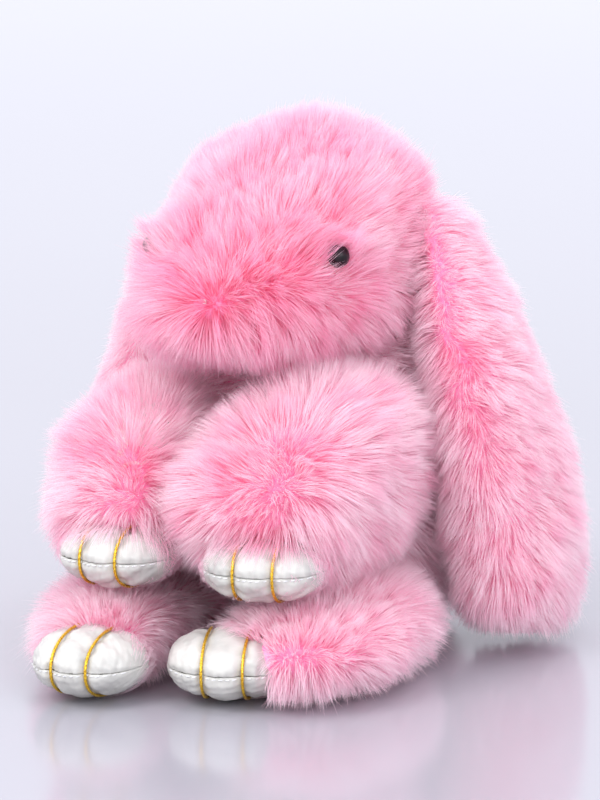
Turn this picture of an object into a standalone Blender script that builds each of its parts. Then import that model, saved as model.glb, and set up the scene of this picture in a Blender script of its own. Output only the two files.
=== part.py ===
# Plush rabbit keychain: a furry rabbit that sits with its head on its arms, four leather paws with
# gold cords, and a lobster clasp with a split ring hanging from a loop behind the head.
# Metres, +Z up. The rabbit faces -Y, its own left side is at +X, and it stands on z = 0.
import bpy
import bmesh
import math
from mathutils import Vector, Matrix

for obj in list(bpy.data.objects):
    bpy.data.objects.remove(obj, do_unlink=True)

MM = 0.001
GAP = 0.4 * MM                 # clearance between touching pieces
PELT = 5.0 * MM                # fur fabric with its pile, as a solid layer
LEATHER = 1.1 * MM             # paw leather

# joint axes
NAPE = Vector((0, 38, 79)) * MM            # head nods about X here
EAR_ROOT = Vector((29.6, 25, 105.5)) * MM    # ear swings about Y here (left; mirrored on the right)
EAR_ROOT_R = 6.2 * MM
EAR_LEAN = {1: 3.2, -1: -1.6}              # degrees that each ear hangs away from straight down
SHOULDER = Vector((26.5, -4, 50)) * MM       # arm swings about Z here
SHOULDER_R = 12.0 * MM
HIP = Vector((19, -6, 12)) * MM            # leg swings about Z here
HIP_R = 15.0 * MM

# paws: centre and half sizes on each side, and how far the toes turn outwards (degrees)
HAND_C = {1: Vector((18.0, -53.0, 28.8)) * MM, -1: Vector((-18.0, -51.0, 28.8)) * MM}
HAND_R = {1: Vector((13.8, 13.5, 7.6)) * MM, -1: Vector((13.4, 13.5, 7.6)) * MM}
HAND_TURN = {1: 8.0, -1: 2.0}
FOOT_C = {1: Vector((12.6, -60.0, 8.3)) * MM, -1: Vector((-16.6, -69.0, 8.3)) * MM}
FOOT_R = {1: Vector((14.0, 15.0, 7.9)) * MM, -1: Vector((12.8, 15.0, 7.7)) * MM}
FOOT_TURN = {1: 14.0, -1: 0.0}
PAW_BACK = 1.5 * MM            # the leather ends this far behind the paw's middle
CORD_R = 0.45 * MM
CORD_AT = 0.325               # the cords' distance from the paw's middle, as a share of its half width
TOE_GROOVE = 0.10              # depth of the grooves between the toes, as a share of the radius

# hanging hardware, behind the back
HW_Y = 62.0 * MM
LOOP_EYE_Z = 97.0 * MM
JUMP_R = 4.6 * MM
JUMP_WIRE = 0.55 * MM
SWIVEL_R = 3.0 * MM
SWIVEL_WIRE = 0.7 * MM
RING_R = 11.6 * MM             # split ring, to the middle of its wire
RING_WIRE = 0.75 * MM


def collection(name, hidden=False):
    made = bpy.data.collections.new(name)
    bpy.context.scene.collection.children.link(made)
    made.hide_render = hidden
    return made


PARTS = collection("plush_keychain")
CUTTERS = collection("cutters", hidden=True)


def material(name, color, roughness, metallic=0.0):
    mat = bpy.data.materials.new(name)
    mat.use_nodes = True
    shader = mat.node_tree.nodes["Principled BSDF"]
    shader.inputs["Base Color"].default_value = (*color, 1.0)
    shader.inputs["Roughness"].default_value = roughness
    shader.inputs["Metallic"].default_value = metallic
    mat.diffuse_color = (*color, 1.0)
    return mat


FUR = material("pink_fur", (1.0, 0.40, 0.60), 0.9)
WADDING = material("white_wadding", (0.93, 0.93, 0.92), 0.95)
LEATHER_MAT = material("white_leather", (0.86, 0.87, 0.86), 0.4)
GOLD = material("gold_cord", (0.90, 0.68, 0.16), 0.3, 0.9)
EYE = material("dark_eye", (0.02, 0.012, 0.015), 0.12)
PLASTIC = material("white_plastic", (0.85, 0.85, 0.83), 0.45)
TAPE = material("pink_tape", (0.92, 0.36, 0.52), 0.6)
METAL = material("gold_metal", (0.83, 0.66, 0.36), 0.22, 1.0)
STEEL = material("spring_steel", (0.62, 0.62, 0.64), 0.3, 1.0)


def add(name, mesh, mat, origin=None, to=PARTS):
    obj = bpy.data.objects.new(name, mesh)
    to.objects.link(obj)
    if mat:
        mesh.materials.append(mat)
    if origin is not None:
        mesh.transform(Matrix.Translation(-Vector(origin)))
        obj.location = origin
    if to is CUTTERS:
        obj.hide_render = True
        obj.display_type = "WIRE"
    return obj


def finish_mesh(name, bm, smooth=True):
    bmesh.ops.recalc_face_normals(bm, faces=bm.faces)
    mesh = bpy.data.meshes.new(name)
    bm.to_mesh(mesh)
    bm.free()
    if smooth:
        mesh.shade_smooth()
        mesh.set_sharp_from_angle(angle=math.radians(40))
    return mesh


def loft(name, stations, sides=20, floor=None, square=2.0):
    """A soft form through unlike oval sections. Each station is (centre, u, v, ru, rv) and the
    first and last ones have no width and become points. square above 2 makes the ovals fuller."""
    bm = bmesh.new()
    rings = []
    for centre, u, v, ru, rv in stations:
        if ru <= 0:
            rings.append([bm.verts.new(centre)])
            continue
        ring = []
        for k in range(sides):
            a = 2 * math.pi * k / sides
            c, s = math.cos(a), math.sin(a)
            p = 2.0 / square
            cu = math.copysign(abs(c) ** p, c)
            cv = math.copysign(abs(s) ** p, s)
            ring.append(bm.verts.new(centre + u * (ru * cu) + v * (rv * cv)))
        rings.append(ring)
    for one, two in zip(rings, rings[1:]):
        if len(one) == 1 or len(two) == 1:
            tip, ring = (one[0], two) if len(one) == 1 else (two[0], one)
            for k in range(sides):
                bm.faces.new((tip, ring[k], ring[(k + 1) % sides]))
            continue
        for k in range(sides):
            j = (k + 1) % sides
            bm.faces.new((one[k], one[j], two[j], two[k]))
    if floor is not None:
        for vert in bm.verts:
            vert.co.z = max(vert.co.z, floor)
    return finish_mesh(name, bm)


def smooth_stations(rows, count):
    """Rows of numbers read at even steps from a smooth curve through them (Catmull-Rom)."""
    out = []
    last = len(rows) - 1
    for i in range(count + 1):
        t = last * i / count
        k = min(int(t), last - 1)
        f = t - k
        p0, p1, p2, p3 = (rows[max(k - 1, 0)], rows[k], rows[k + 1], rows[min(k + 2, last)])
        row = []
        for a, b, c, d in zip(p0, p1, p2, p3):
            row.append(0.5 * (2 * b + (c - a) * f + (2 * a - 5 * b + 4 * c - d) * f * f + (3 * b - a - 3 * c + d) * f ** 3))
        out.append(row)
    return out


def capped(rows, start_tip, end_tip):
    """Adds closely spaced rows at each end that round it off to a point, as on a circle."""
    out = []
    first, last = rows[0], rows[-1]
    for step in (0.0, 0.25, 0.55, 0.8):
        k = math.sin(step * math.pi / 2)
        out.append([a + (b - a) * (1 - math.cos(step * math.pi / 2)) if i < 3 else b * k
                    for i, (a, b) in enumerate(zip(start_tip + first[3:], first))])
    body = [list(r) for r in rows]
    tail = []
    for step in (0.8, 0.55, 0.25, 0.0):
        k = math.sin(step * math.pi / 2)
        tail.append([a + (b - a) * (1 - math.cos(step * math.pi / 2)) if i < 3 else b * k
                     for i, (a, b) in enumerate(zip(end_tip + last[3:], last))])
    return out + body + tail


def box(name, low, high, mat=None, to=CUTTERS):
    bm = bmesh.new()
    bmesh.ops.create_cube(bm, size=1.0)
    low, high = Vector(low), Vector(high)
    for vert in bm.verts:
        vert.co = Vector((low[i] + (vert.co[i] + 0.5) * (high[i] - low[i]) for i in range(3)))
    return add(name, finish_mesh(name, bm, smooth=False), mat, to=to)


def cylinder(name, centre, axis, radius, depth, segments=28, mat=None, to=CUTTERS, r2=None):
    bm = bmesh.new()
    bmesh.ops.create_cone(bm, cap_ends=True, segments=segments, radius1=radius,
                          radius2=radius if r2 is None else r2, depth=depth)
    turn = Vector((0, 0, 1)).rotation_difference(Vector(axis)).to_matrix().to_4x4() @ Matrix.Rotation(0.13, 4, "Z")
    bmesh.ops.transform(bm, matrix=Matrix.Translation(Vector(centre)) @ turn, verts=bm.verts)
    return add(name, finish_mesh(name, bm), mat, to=to)


def cut(obj, *cutters, op="DIFFERENCE"):
    for cutter in cutters:
        mod = obj.modifiers.new(cutter.name, "BOOLEAN")
        mod.operation = op
        mod.object = cutter


def applied(obj):
    """Replaces the object's mesh by its evaluated one, so it can be mirrored or cut again."""
    graph = bpy.context.evaluated_depsgraph_get()
    graph.update()
    mesh = bpy.data.meshes.new_from_object(obj.evaluated_get(graph))
    bm = bmesh.new()
    bm.from_mesh(mesh)
    bmesh.ops.remove_doubles(bm, verts=bm.verts, dist=5e-6)
    bm.to_mesh(mesh)
    bm.free()
    obj.modifiers.clear()
    old = obj.data
    obj.data = mesh
    mesh.name = old.name + "_final"
    return obj


def mirrored(obj, name, origin=None):
    """The same piece on the rabbit's other side."""
    mesh = obj.data.copy()
    mesh.transform(obj.matrix_world)
    mesh.transform(Matrix.Scale(-1, 4, (1, 0, 0)))
    mesh.flip_normals()
    twin = bpy.data.objects.new(name, mesh)
    PARTS.objects.link(twin)
    if origin is not None:
        mesh.transform(Matrix.Translation(-Vector(origin)))
        twin.location = origin
    return twin


def sided(name, obj, origin):
    """Gives a left-hand piece its name and joint origin, and makes the right-hand twin."""
    obj.name = "left_" + name
    other = Vector((-origin.x, origin.y, origin.z))
    twin = mirrored(obj, "right_" + name, other)
    obj.data.transform(Matrix.Translation(-origin))
    obj.location = origin
    return obj, twin


X, Y, Z = Vector((1, 0, 0)), Vector((0, 1, 0)), Vector((0, 0, 1))

# ---------------------------------------------------------------- ears
# (height, x of the middle, y of the middle, half thickness, half width) down from the root
EAR_ROWS = [(105.5, 29.6, 25, 6.0, 10.0), (98.5, 36.0, 24, 5.0, 12.0), (90, 39.0, 22.4, 5.8, 15.0), (75, 43.0, 19.6, 7.2, 18.0),
            (55, 48.4, 17.4, 9.0, 20.0), (32, 51.4, 16.2, 10.8, 21.0), (15, 52.4, 15.8, 11.2, 19.0), (6.5, 52.4, 15.8, 9.2, 14.5)]


def ear_stations(side, grow=0.0):
    rows = smooth_stations([(z, x, y, t + grow, w + grow) for z, x, y, t, w in EAR_ROWS], 9)
    out = []
    lean = Matrix.Rotation(-math.radians(EAR_LEAN[side]), 3, Y)
    pts = [EAR_ROOT + lean @ (Vector((r[1], r[2], r[0])) * MM - EAR_ROOT) for r in rows]
    for i, row in enumerate(rows):
        along = (pts[min(i + 1, len(pts) - 1)] - pts[max(i - 1, 0)])
        across = Vector((along.z, 0, -along.x)).normalized()
        across = across if across.x > 0 else -across
        out.append((pts[i], across, Y, row[3] * MM, row[4] * MM))
    # round root, inside the root radius all round
    start = (pts[1] - pts[0]).normalized()
    cap = []
    for a in (90, 60, 28):
        k = math.radians(a)
        centre = pts[0] - start * (EAR_ROOT_R * 0.95 * math.sin(k))
        across = Vector((start.z, 0, -start.x)).normalized()
        across = across if across.x > 0 else -across
        width = 0 if a == 90 else math.cos(k)
        cap.append((centre, across, Y, EAR_ROOT_R * 0.95 * width, 10.5 * MM * width))
    end = []
    for a in (28, 60, 90):
        k = math.radians(a)
        centre = pts[-1] - Z * (4.6 * MM * math.sin(k))
        width = 0 if a == 90 else math.cos(k)
        end.append((centre, X, Y, EAR_ROWS[-1][3] * MM * width, EAR_ROWS[-1][4] * MM * width))
    return [(Vector((side * c.x, c.y, c.z)), u, v, ru, rv) for c, u, v, ru, rv in
            [(c, Vector((u.x, u.y, side * u.z)), v, ru, rv) for c, u, v, ru, rv in cap + out + end]]


# ---------------------------------------------------------------- head
# (y, middle z, half width, half height) from the snout to the back of the head
HEAD_ROWS = [(-52, 85.5, 8.0, 7.0), (-46, 86.5, 15.0, 10.3), (-36, 88.8, 21.5, 13.6), (-20, 92.5, 26.5, 17.4),
             (-2, 96.5, 29.0, 21.2), (16, 99.3, 30.0, 23.9), (28, 100.4, 27.5, 22.2), (38, 101.0, 19.0, 16.5),
             (43, 101, 10.0, 8.0)]


def head_stations(inset=0.0):
    rows = smooth_stations(HEAD_ROWS, 10)
    first, last = rows[0], rows[-1]
    out = [(Vector((0, first[0] - 2.2 + inset, first[1])) * MM, X, Z, 0, 0)]
    for y, z, w, h in rows:
        squeeze = 1.0 - inset / 40.0
        out.append((Vector((0, -4 + (y + 4) * squeeze, z)) * MM, X, Z, max(w - inset, 1) * MM, max(h - inset, 1) * MM))
    out.append((Vector((0, last[0] + 1.8 - inset, last[1])) * MM, X, Z, 0, 0))
    return out


NECK_C = Vector((0, 14, 76)) * MM
NECK_R = 12.0 * MM
neck_hole = cylinder("neck_hole", NECK_C, Z, NECK_R, 14 * MM, 18)
ear_notches = [cylinder("ear_notch_%d" % s, (s * EAR_ROOT.x, EAR_ROOT.y, EAR_ROOT.z), Y, EAR_ROOT_R + GAP, 40 * MM, 18)
               for s in (1, -1)]
loop_slot = box("loop_slot", (-3.3 * MM, 30 * MM, 99.8 * MM), (3.3 * MM, 50 * MM, 104.2 * MM))
anchor_room = box("anchor_room", (-6.1 * MM, 33.0 * MM, 95.9 * MM), (6.1 * MM, 37.0 * MM, 108.1 * MM))

head_hollow = add("head_hollow", loft("head_hollow", head_stations(5.0), 16, square=2.2), None, to=CUTTERS)

# eyes: a domed bead on a stem through the pelt, with a washer inside
EYE_C = Vector((24.3, -22.5, 94.6)) * MM
EYE_R = 4.0 * MM
EYE_OUT = Vector((0.86, -0.46, 0.22)).normalized()
WASHER_IN = 6.6 * MM           # the washer sits this far behind the bead's middle
stem_holes = []
for side in (1, -1):
    out = Vector((side * EYE_OUT.x, EYE_OUT.y, EYE_OUT.z))
    at = Vector((side * EYE_C.x, EYE_C.y, EYE_C.z))
    hole = cylinder("eye_hole_%d" % side, at - out * 2 * MM, out, 4.4 * MM, 22 * MM, 14)
    stem_holes.append(hole)

head = add("head_cover", loft("head_cover", head_stations(0.0), 20, square=2.2), FUR)
washer_rooms = []
for side in (1, -1):
    out = Vector((side * EYE_OUT.x, EYE_OUT.y, EYE_OUT.z))
    at = Vector((side * EYE_C.x, EYE_C.y, EYE_C.z)) - out * WASHER_IN
    washer_rooms.append(cylinder("washer_seat_%d" % side, at, out, 5.0 * MM, 2.2 * MM, 14))
ear_seats = [add("ear_seat_%d" % s, loft("ear_seat", ear_stations(s, 0.6), 14), None, to=CUTTERS) for s in (1, -1)]
cut(head, head_hollow, neck_hole, *ear_notches, *ear_seats, loop_slot, anchor_room, *stem_holes, *washer_rooms)
head_fill = add("head_stuffing", loft("head_stuffing", head_stations(5.5), 16, square=2.2), WADDING)
head_fill_holes = []
for side in (1, -1):
    out = Vector((side * EYE_OUT.x, EYE_OUT.y, EYE_OUT.z))
    at = Vector((side * EYE_C.x, EYE_C.y, EYE_C.z))
    head_fill_holes.append(cylinder("washer_room_%d" % side, at - out * (WASHER_IN + 2.2 * MM - 10.4 * MM), out, 5.6 * MM, 20.8 * MM, 14))
wide_notches = [cylinder("ear_room_%d" % s, (s * EAR_ROOT.x, EAR_ROOT.y, EAR_ROOT.z), Y, EAR_ROOT_R + 2 * GAP, 42 * MM, 18)
                for s in (1, -1)]
fill_back = box("fill_back", (-7 * MM, 33.0 * MM, 95.0 * MM), (7 * MM, 50 * MM, 109.0 * MM))
cut(head_fill, fill_back, *head_fill_holes, *wide_notches)
for obj in (head, head_fill):
    applied(obj)
    obj.data.transform(Matrix.Translation(-NAPE))
    obj.location = NAPE

eye_to = Vector((0, 0, 1)).rotation_difference(EYE_OUT).to_matrix().to_4x4()
bm = bmesh.new()
bmesh.ops.create_uvsphere(bm, u_segments=14, v_segments=8, radius=EYE_R)
for vert in bm.verts:
    if vert.co.z < 0:
        vert.co.z *= 0.55      # flatter at the back, where the bead rests on the pelt
bmesh.ops.transform(bm, matrix=Matrix.Translation(EYE_C) @ eye_to, verts=bm.verts)
eye = add("left_eye", finish_mesh("eye", bm), EYE)
stem = cylinder("eye_stem", EYE_C - EYE_OUT * 4.6 * MM, EYE_OUT, 1.1 * MM, 7.0 * MM, 8)
cut(eye, stem, op="UNION")
applied(eye)
washer = cylinder("left_eye_washer", EYE_C - EYE_OUT * WASHER_IN, EYE_OUT, 4.6 * MM, 1.2 * MM, 14, PLASTIC, PARTS)
washer_bore = cylinder("washer_bore", EYE_C - EYE_OUT * WASHER_IN, EYE_OUT, 1.5 * MM, 6 * MM, 10)
cut(washer, washer_bore)
applied(washer)
sided("eye", eye, EYE_C)
sided("eye_washer", washer, EYE_C)

# ---------------------------------------------------------------- ears in place
for side, name in ((1, "left_ear"), (-1, "right_ear")):
    add(name, loft(name, ear_stations(side), 14, floor=1.2 * MM), FUR,
        origin=Vector((side * EAR_ROOT.x, EAR_ROOT.y, EAR_ROOT.z)))

# ---------------------------------------------------------------- limbs
def limb_stations(rows, radius, inset=0.0, count=7):
    """rows are (x, y, half width, low z, high z) forward from the pivot."""
    rows = smooth_stations(rows, count)
    pts = [Vector((r[0], r[1], 0)) * MM for r in rows]
    out = []
    for i, (x, y, w, lo, hi) in enumerate(rows):
        along = (pts[min(i + 1, len(pts) - 1)] - pts[max(i - 1, 0)]).normalized()
        side = Vector((-along.y, along.x, 0))
        out.append((pts[i] + Z * ((lo + hi) / 2 * MM), side, Z, (w - inset) * MM, ((hi - lo) / 2 - inset) * MM))
    start = (pts[1] - pts[0]).normalized()
    side = Vector((-start.y, start.x, 0))
    lo, hi = rows[0][3], rows[0][4]
    middle = pts[0] + Z * ((lo + hi) / 2 * MM)
    round_r = (radius - inset * MM) * 0.96
    cap = [(middle - start * round_r, side, Z, 0, 0)]
    for a in (64, 34):
        k = math.radians(a)
        cap.append((middle - start * (round_r * math.sin(k)), side, Z, round_r * math.cos(k),
                    ((hi - lo) / 2 - inset) * MM * (0.25 + 0.75 * math.cos(k))))
    last = out[-1]
    end = [(last[0] + (pts[-1] - pts[-2]).normalized() * (1.2 - 1.5 * max(0.0, inset - 4.4)) * MM, last[1], last[2], 0, 0)]
    return cap + out + end


def arm_rows(side):
    """The arm, from the shoulder to its front: it hangs over the hand's leather."""
    hand = HAND_C[side] / MM
    return [(side * 26.5, -4, 11.6, 31, 67), (side * 24.4, -15, 13.8, 26.5, 69.4), (side * 22.4, -26, 16.4, 22.8, 70.0),
            (side * 21.0, -36, 17.6, 22.2, 67.0), (hand.x * 1.05, hand.y + 8, 17.4, 22.2, 61.0),
            (hand.x, hand.y + 0.5, 15.4, 23.4, 54.0), (hand.x, hand.y - 4.5, 10.5, 32.0, 48.5)]


def leg_rows(side):
    """The leg, flat underneath, from the hip to just behind the foot's leather."""
    foot = FOOT_C[side] / MM
    reach = foot.y + 6
    step = reach + 6
    return [(side * 19, -6, 14.4, -2.0, 21.2), (side * 20.6, -6 + step * 0.28, 16.0, -2.5, 21.6),
            (side * 21.2, -6 + step * 0.56, 17.0, -2.5, 21.4), (side * 18.6, -6 + step * 0.82, 16.6, -2.0, 19.4),
            (foot.x, reach, 14.6, -1.0, 17.6), (foot.x, reach - 6, 12.6, -0.2, 16.4)]


def limb(name, rows, radius, floor):
    cover = add(name + "_cover", loft(name, limb_stations(rows, radius, 0.0, 6), 14, floor=floor, square=2.2), FUR)
    hollow = add(name + "_hollow", loft(name + "_hollow", limb_stations(rows, radius, 5.0, 5), 10,
                                        floor=None if floor is None else 4.0 * MM, square=2.2), None, to=CUTTERS)
    first = Vector((rows[0][0], rows[0][1], (rows[0][3] + rows[0][4]) / 2)) * MM
    # the open end, where the limb is sewn to the body
    mouth = cylinder(name + "_mouth", first + Y * 9 * MM, Y, 4.5 * MM, 12 * MM, 10)
    cut(cover, hollow, mouth)
    fill = add(name + "_stuffing", loft(name + "_fill", limb_stations(rows, radius, 5.9, 5), 10,
                                        floor=None if floor is None else 4.5 * MM, square=2.2), WADDING)
    return cover, fill


# ---------------------------------------------------------------- body
# (height, y of the middle, half width, half depth)
BODY_ROWS = [(0, 16, 29.0, 25.0), (8, 16.4, 32.5, 28.2), (22, 16.6, 34.4, 29.6), (38, 16.6, 34.8, 29.6), (52, 16.4, 33.4, 28.4),
             (63, 16, 29.0, 25.0), (70, 16, 23.5, 20.0), (73.4, 15.5, 17.0, 15.0)]


def body_stations(inset=0.0):
    rows = smooth_stations(BODY_ROWS, 9)
    out = [(Vector((0, rows[0][1], inset)) * MM, X, Y, 0, 0)]
    for z, y, w, d in rows:
        zz = inset + z * (73.4 - 2 * inset) / 73.4
        out.append((Vector((0, y, zz)) * MM, X, Y, (w - inset) * MM, (d - inset) * MM))
    out.append((Vector((0, rows[-1][1], 73.4 - inset)) * MM, X, Y, 0, 0))
    return out


shoulder_cuts, hip_cuts, shoulder_room, hip_room = [], [], [], []
for side in (1, -1):
    shoulder_cuts.append(cylinder("shoulder_cut_%d" % side, (side * SHOULDER.x, SHOULDER.y, 54 * MM), Z,
                                  SHOULDER_R + GAP, 48 * MM, 24))
    shoulder_room.append(cylinder("shoulder_room_%d" % side, (side * SHOULDER.x, SHOULDER.y, 54 * MM), Z,
                                  SHOULDER_R + 2.5 * GAP, 50 * MM, 20))
    hip_cuts.append(cylinder("hip_cut_%d" % side, (side * HIP.x, HIP.y, 12 * MM), Z, HIP_R + GAP, 27.4 * MM, 28))
    hip_room.append(cylinder("hip_room_%d" % side, (side * HIP.x, HIP.y, 12 * MM), Z, HIP_R + 2.5 * GAP, 30 * MM, 20))
body = add("body_cover", loft("body_cover", body_stations(0.0), 20, square=2.3), FUR)
body_hollow = add("body_hollow", loft("body_hollow", body_stations(5.0), 16, square=2.3), None, to=CUTTERS)
neck_hole_body = cylinder("neck_hole_body", Vector((0, 15.5, 72)) * MM, Z, NECK_R, 14 * MM, 18)
limb_cuts = []
for side in (1, -1):
    for kind, rows, radius in (("arm", arm_rows(side), SHOULDER_R), ("leg", leg_rows(side), HIP_R)):
        limb_cuts.append(add("%s_seat_%d" % (kind, side), loft(kind + "_seat", limb_stations(rows, radius, -0.8), 14, square=2.2),
                             None, to=CUTTERS))
cut(body, body_hollow, neck_hole_body, *shoulder_cuts, *hip_cuts, *limb_cuts)
applied(body)
body_fill = add("body_stuffing", loft("body_stuffing", body_stations(5.5), 16, square=2.3), WADDING)
cut(body_fill, *shoulder_room, *hip_room, *limb_cuts)
applied(body_fill)

TAIL_C = Vector((0, 56.4, 15.5)) * MM
TAIL_R = 9.6 * MM
bm = bmesh.new()
bmesh.ops.create_uvsphere(bm, u_segments=14, v_segments=8, radius=TAIL_R)
bmesh.ops.translate(bm, vec=TAIL_C, verts=bm.verts)
add("tail", finish_mesh("tail", bm), FUR, origin=TAIL_C)


def paw_mesh(name, centre, radius, grow, rings=14, sides=10, grooves=True):
    """An oval paw with two grooves that part it into three toes. Sections run across, along X."""
    stations = []
    xs = [-1, -0.92, -0.72, -0.5, -CORD_AT, -0.17, 0.0, 0.17, CORD_AT, 0.5, 0.72, 0.92, 1]
    if not grooves:
        xs = [-1, -0.9, -0.7, -0.4, 0.0, 0.4, 0.7, 0.9, 1]
    for t in xs:
        k = math.sqrt(max(0.0, 1 - t * t)) ** 0.85
        if grooves:
            d = min(abs(t - CORD_AT), abs(t + CORD_AT))
            k *= 1 - TOE_GROOVE * math.exp(-(d / 0.11) ** 2)
        at = centre + X * (t * (radius.x + grow))
        stations.append((at, Y, Z, k * (radius.y + grow), k * (radius.z + grow)))
    return loft(name, stations, sides, square=2.15)


def turned(obj, centre, angle):
    """Turns a paw's piece about its own upright axis."""
    turn = Matrix.Translation(centre) @ Matrix.Rotation(angle, 4, "Z") @ Matrix.Translation(-centre)
    obj.data.transform(turn)
    return obj


def paw(name, centre, radius, turn, floor):
    """The leather in an upper and a lower half, its filling, and the two cords over the toes."""
    outer = paw_mesh(name + "_outer", centre, radius, 0.0)
    low, high = centre - Vector((30, 40, 40)) * MM, centre + Vector((30, 40, 40)) * MM
    behind = box(name + "_behind", (low.x, centre.y + PAW_BACK, low.z), high)
    above = box(name + "_above", (low.x, low.y, centre.z - 0.12 * MM), high)
    below = box(name + "_below", low, (high.x, high.y, centre.z + 0.12 * MM))
    inside = add(name + "_inside", paw_mesh(name + "_inside", centre, radius, -LEATHER), None, to=CUTTERS)
    pieces = []
    for half, away in (("upper_leather", below), ("lower_leather", above)):
        shell = add(name + "_" + half, outer.copy(), LEATHER_MAT)
        if floor is not None:
            for vert in shell.data.vertices:
                vert.co.z = max(vert.co.z, floor)
        cut(shell, inside, behind, away)
        pieces.append(turned(applied(shell), centre, turn))
    fill = add(name + "_filling", paw_mesh(name + "_fill", centre, radius, -LEATHER - 0.35 * MM), WADDING)
    if floor is not None:
        for vert in fill.data.vertices:
            vert.co.z = max(vert.co.z, floor + LEATHER + 0.35 * MM)
    cut(fill, behind)
    pieces.append(turned(applied(fill), centre, turn))
    bpy.data.meshes.remove(outer)
    outward = 1 if centre.x > 0 else -1
    for where, dx in (("inner", -CORD_AT * radius.x * outward), ("outer", CORD_AT * radius.x * outward)):
        t = dx / radius.x
        k = (math.sqrt(1 - t * t) ** 0.85) * (1 - TOE_GROOVE)
        ry = k * radius.y + CORD_R + 0.2 * MM
        rz = k * radius.z + CORD_R + 0.2 * MM
        # from the top, forward round the front and back underneath
        spread = math.radians(94)
        curve = bpy.data.curves.new(name + "_cord_" + where, "CURVE")
        curve.dimensions = "3D"
        curve.bevel_depth = CORD_R
        curve.bevel_resolution = 1
        curve.use_fill_caps = True
        spline = curve.splines.new("POLY")
        count = 11
        spline.points.add(count - 1)
        for i in range(count):
            a = -spread + 2 * spread * i / (count - 1)
            c, s = math.cos(a), math.sin(a)
            p = 2 / 2.15
            pos = centre + X * dx + Y * (-ry * math.copysign(abs(c) ** p, c)) + Z * (rz * math.copysign(abs(s) ** p, s))
            if floor is not None:
                pos.z = max(pos.z, CORD_R + 0.02 * MM)
            spline.points[i].co = (*pos, 1)
        pieces.append(turned(wire_mesh(name + "_cord_" + where, curve, GOLD), centre, turn))
    return pieces


def wire_mesh(name, curve, mat, to=PARTS):
    """A curve with a round section, made a closed mesh."""
    wire = bpy.data.objects.new(name + "_curve", curve)
    PARTS.objects.link(wire)
    graph = bpy.context.evaluated_depsgraph_get()
    mesh = bpy.data.meshes.new_from_object(wire.evaluated_get(graph))
    bpy.data.objects.remove(wire, do_unlink=True)
    bm = bmesh.new()
    bm.from_mesh(mesh)
    bmesh.ops.remove_doubles(bm, verts=bm.verts, dist=1e-6)
    bmesh.ops.recalc_face_normals(bm, faces=bm.faces)
    bm.to_mesh(mesh)
    bm.free()
    mesh.shade_smooth()
    mesh.materials.clear()
    return add(name, mesh, mat, to=to)


def placed(obj, origin):
    obj.data.transform(Matrix.Translation(-origin))
    obj.location = origin


for side, word in ((1, "left"), (-1, "right")):
    for kind, rows, pivot, radius, floor, centre, size, turn, paw_kind in (
            ("arm", arm_rows(side), SHOULDER, SHOULDER_R, None, HAND_C[side], HAND_R[side], HAND_TURN[side], "hand"),
            ("leg", leg_rows(side), HIP, HIP_R, 0.0, FOOT_C[side], FOOT_R[side], FOOT_TURN[side], "foot")):
        pivot = Vector((side * pivot.x, pivot.y, pivot.z))
        angle = math.radians(turn) * side
        cover, fill = limb(word + "_" + kind, rows, radius, floor)
        # the fur stops just behind the leather
        for obj, clear in ((cover, GAP), (fill, 2 * GAP)):
            stop = box(obj.name + "_front", centre - Vector((40, 60, 40)) * MM,
                       (centre.x + 40 * MM, centre.y + PAW_BACK + clear, centre.z + size.z + 0.6 * MM + clear))
            turned(stop, centre, angle)
            cut(obj, stop)
            placed(applied(obj), pivot)
        for obj in paw(word + "_" + paw_kind, centre, size, angle, None if floor is None else 0.35 * MM):
            placed(obj, pivot)

# ---------------------------------------------------------------- hanging hardware
# the loop: a folded tape, whose ends go through the pelt to an anchor inside the head
EYE_Z = 97.6 * MM

def ring_mesh(name, centre, axis, major, minor, seg=28, sides=6, squash=1.0):
    bm = bmesh.new()
    axis = Vector(axis).normalized()
    u = axis.orthogonal().normalized()
    v = axis.cross(u)
    grid = []
    for i in range(seg):
        a = 2 * math.pi * i / seg
        d = u * math.cos(a) + v * math.sin(a)
        row = []
        for j in range(sides):
            b = 2 * math.pi * j / sides
            row.append(bm.verts.new(Vector(centre) + d * (major + minor * math.cos(b)) + axis * (minor * squash * math.sin(b))))
        grid.append(row)
    for i in range(seg):
        for j in range(sides):
            bm.faces.new((grid[i][j], grid[(i + 1) % seg][j], grid[(i + 1) % seg][(j + 1) % sides], grid[i][(j + 1) % sides]))
    return finish_mesh(name, bm)


# loop: an eye of tape around the jump ring's top wire and a flat doubled stem into the head
eye_outer = cylinder("hanging_loop", (0, HW_Y - 1.2 * MM, EYE_Z), X, 3.7 * MM, 4.0 * MM, 18, TAPE, PARTS)
stem_a = Vector((0, HW_Y - 1.2 * MM - 1.0 * MM, EYE_Z + 0.4 * MM))
stem_b = Vector((0, 36.9, 102)) * MM
knee = Vector((0, 46.0, 102)) * MM
stem_curve = [stem_a, Vector((0, 54.5, 99.9)) * MM, knee, Vector((0, 41.0, 102)) * MM, stem_b]
rows = smooth_stations([tuple(p) for p in stem_curve], 10)
bm = bmesh.new()
sections = []
for i, row in enumerate(rows):
    p = Vector(row)
    q = Vector(rows[min(i + 1, len(rows) - 1)]) - Vector(rows[max(i - 1, 0)])
    n = X.cross(q.normalized())
    sections.append([bm.verts.new(p + X * (sx * 2.0 * MM) + n * (sn * 0.9 * MM)) for sx, sn in ((-1, -1), (1, -1), (1, 1), (-1, 1))])
for one, two in zip(sections, sections[1:]):
    for k in range(4):
        bm.faces.new((one[k], one[(k + 1) % 4], two[(k + 1) % 4], two[k]))
bm.faces.new(sections[0][::-1])
bm.faces.new(sections[-1])
stem_obj = add("loop_stem", finish_mesh("loop_stem", bm, smooth=False), None, to=CUTTERS)
loop_bore = cylinder("loop_bore", (0, HW_Y - 1.2 * MM, EYE_Z), X, 2.8 * MM, 9 * MM, 18)
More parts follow.
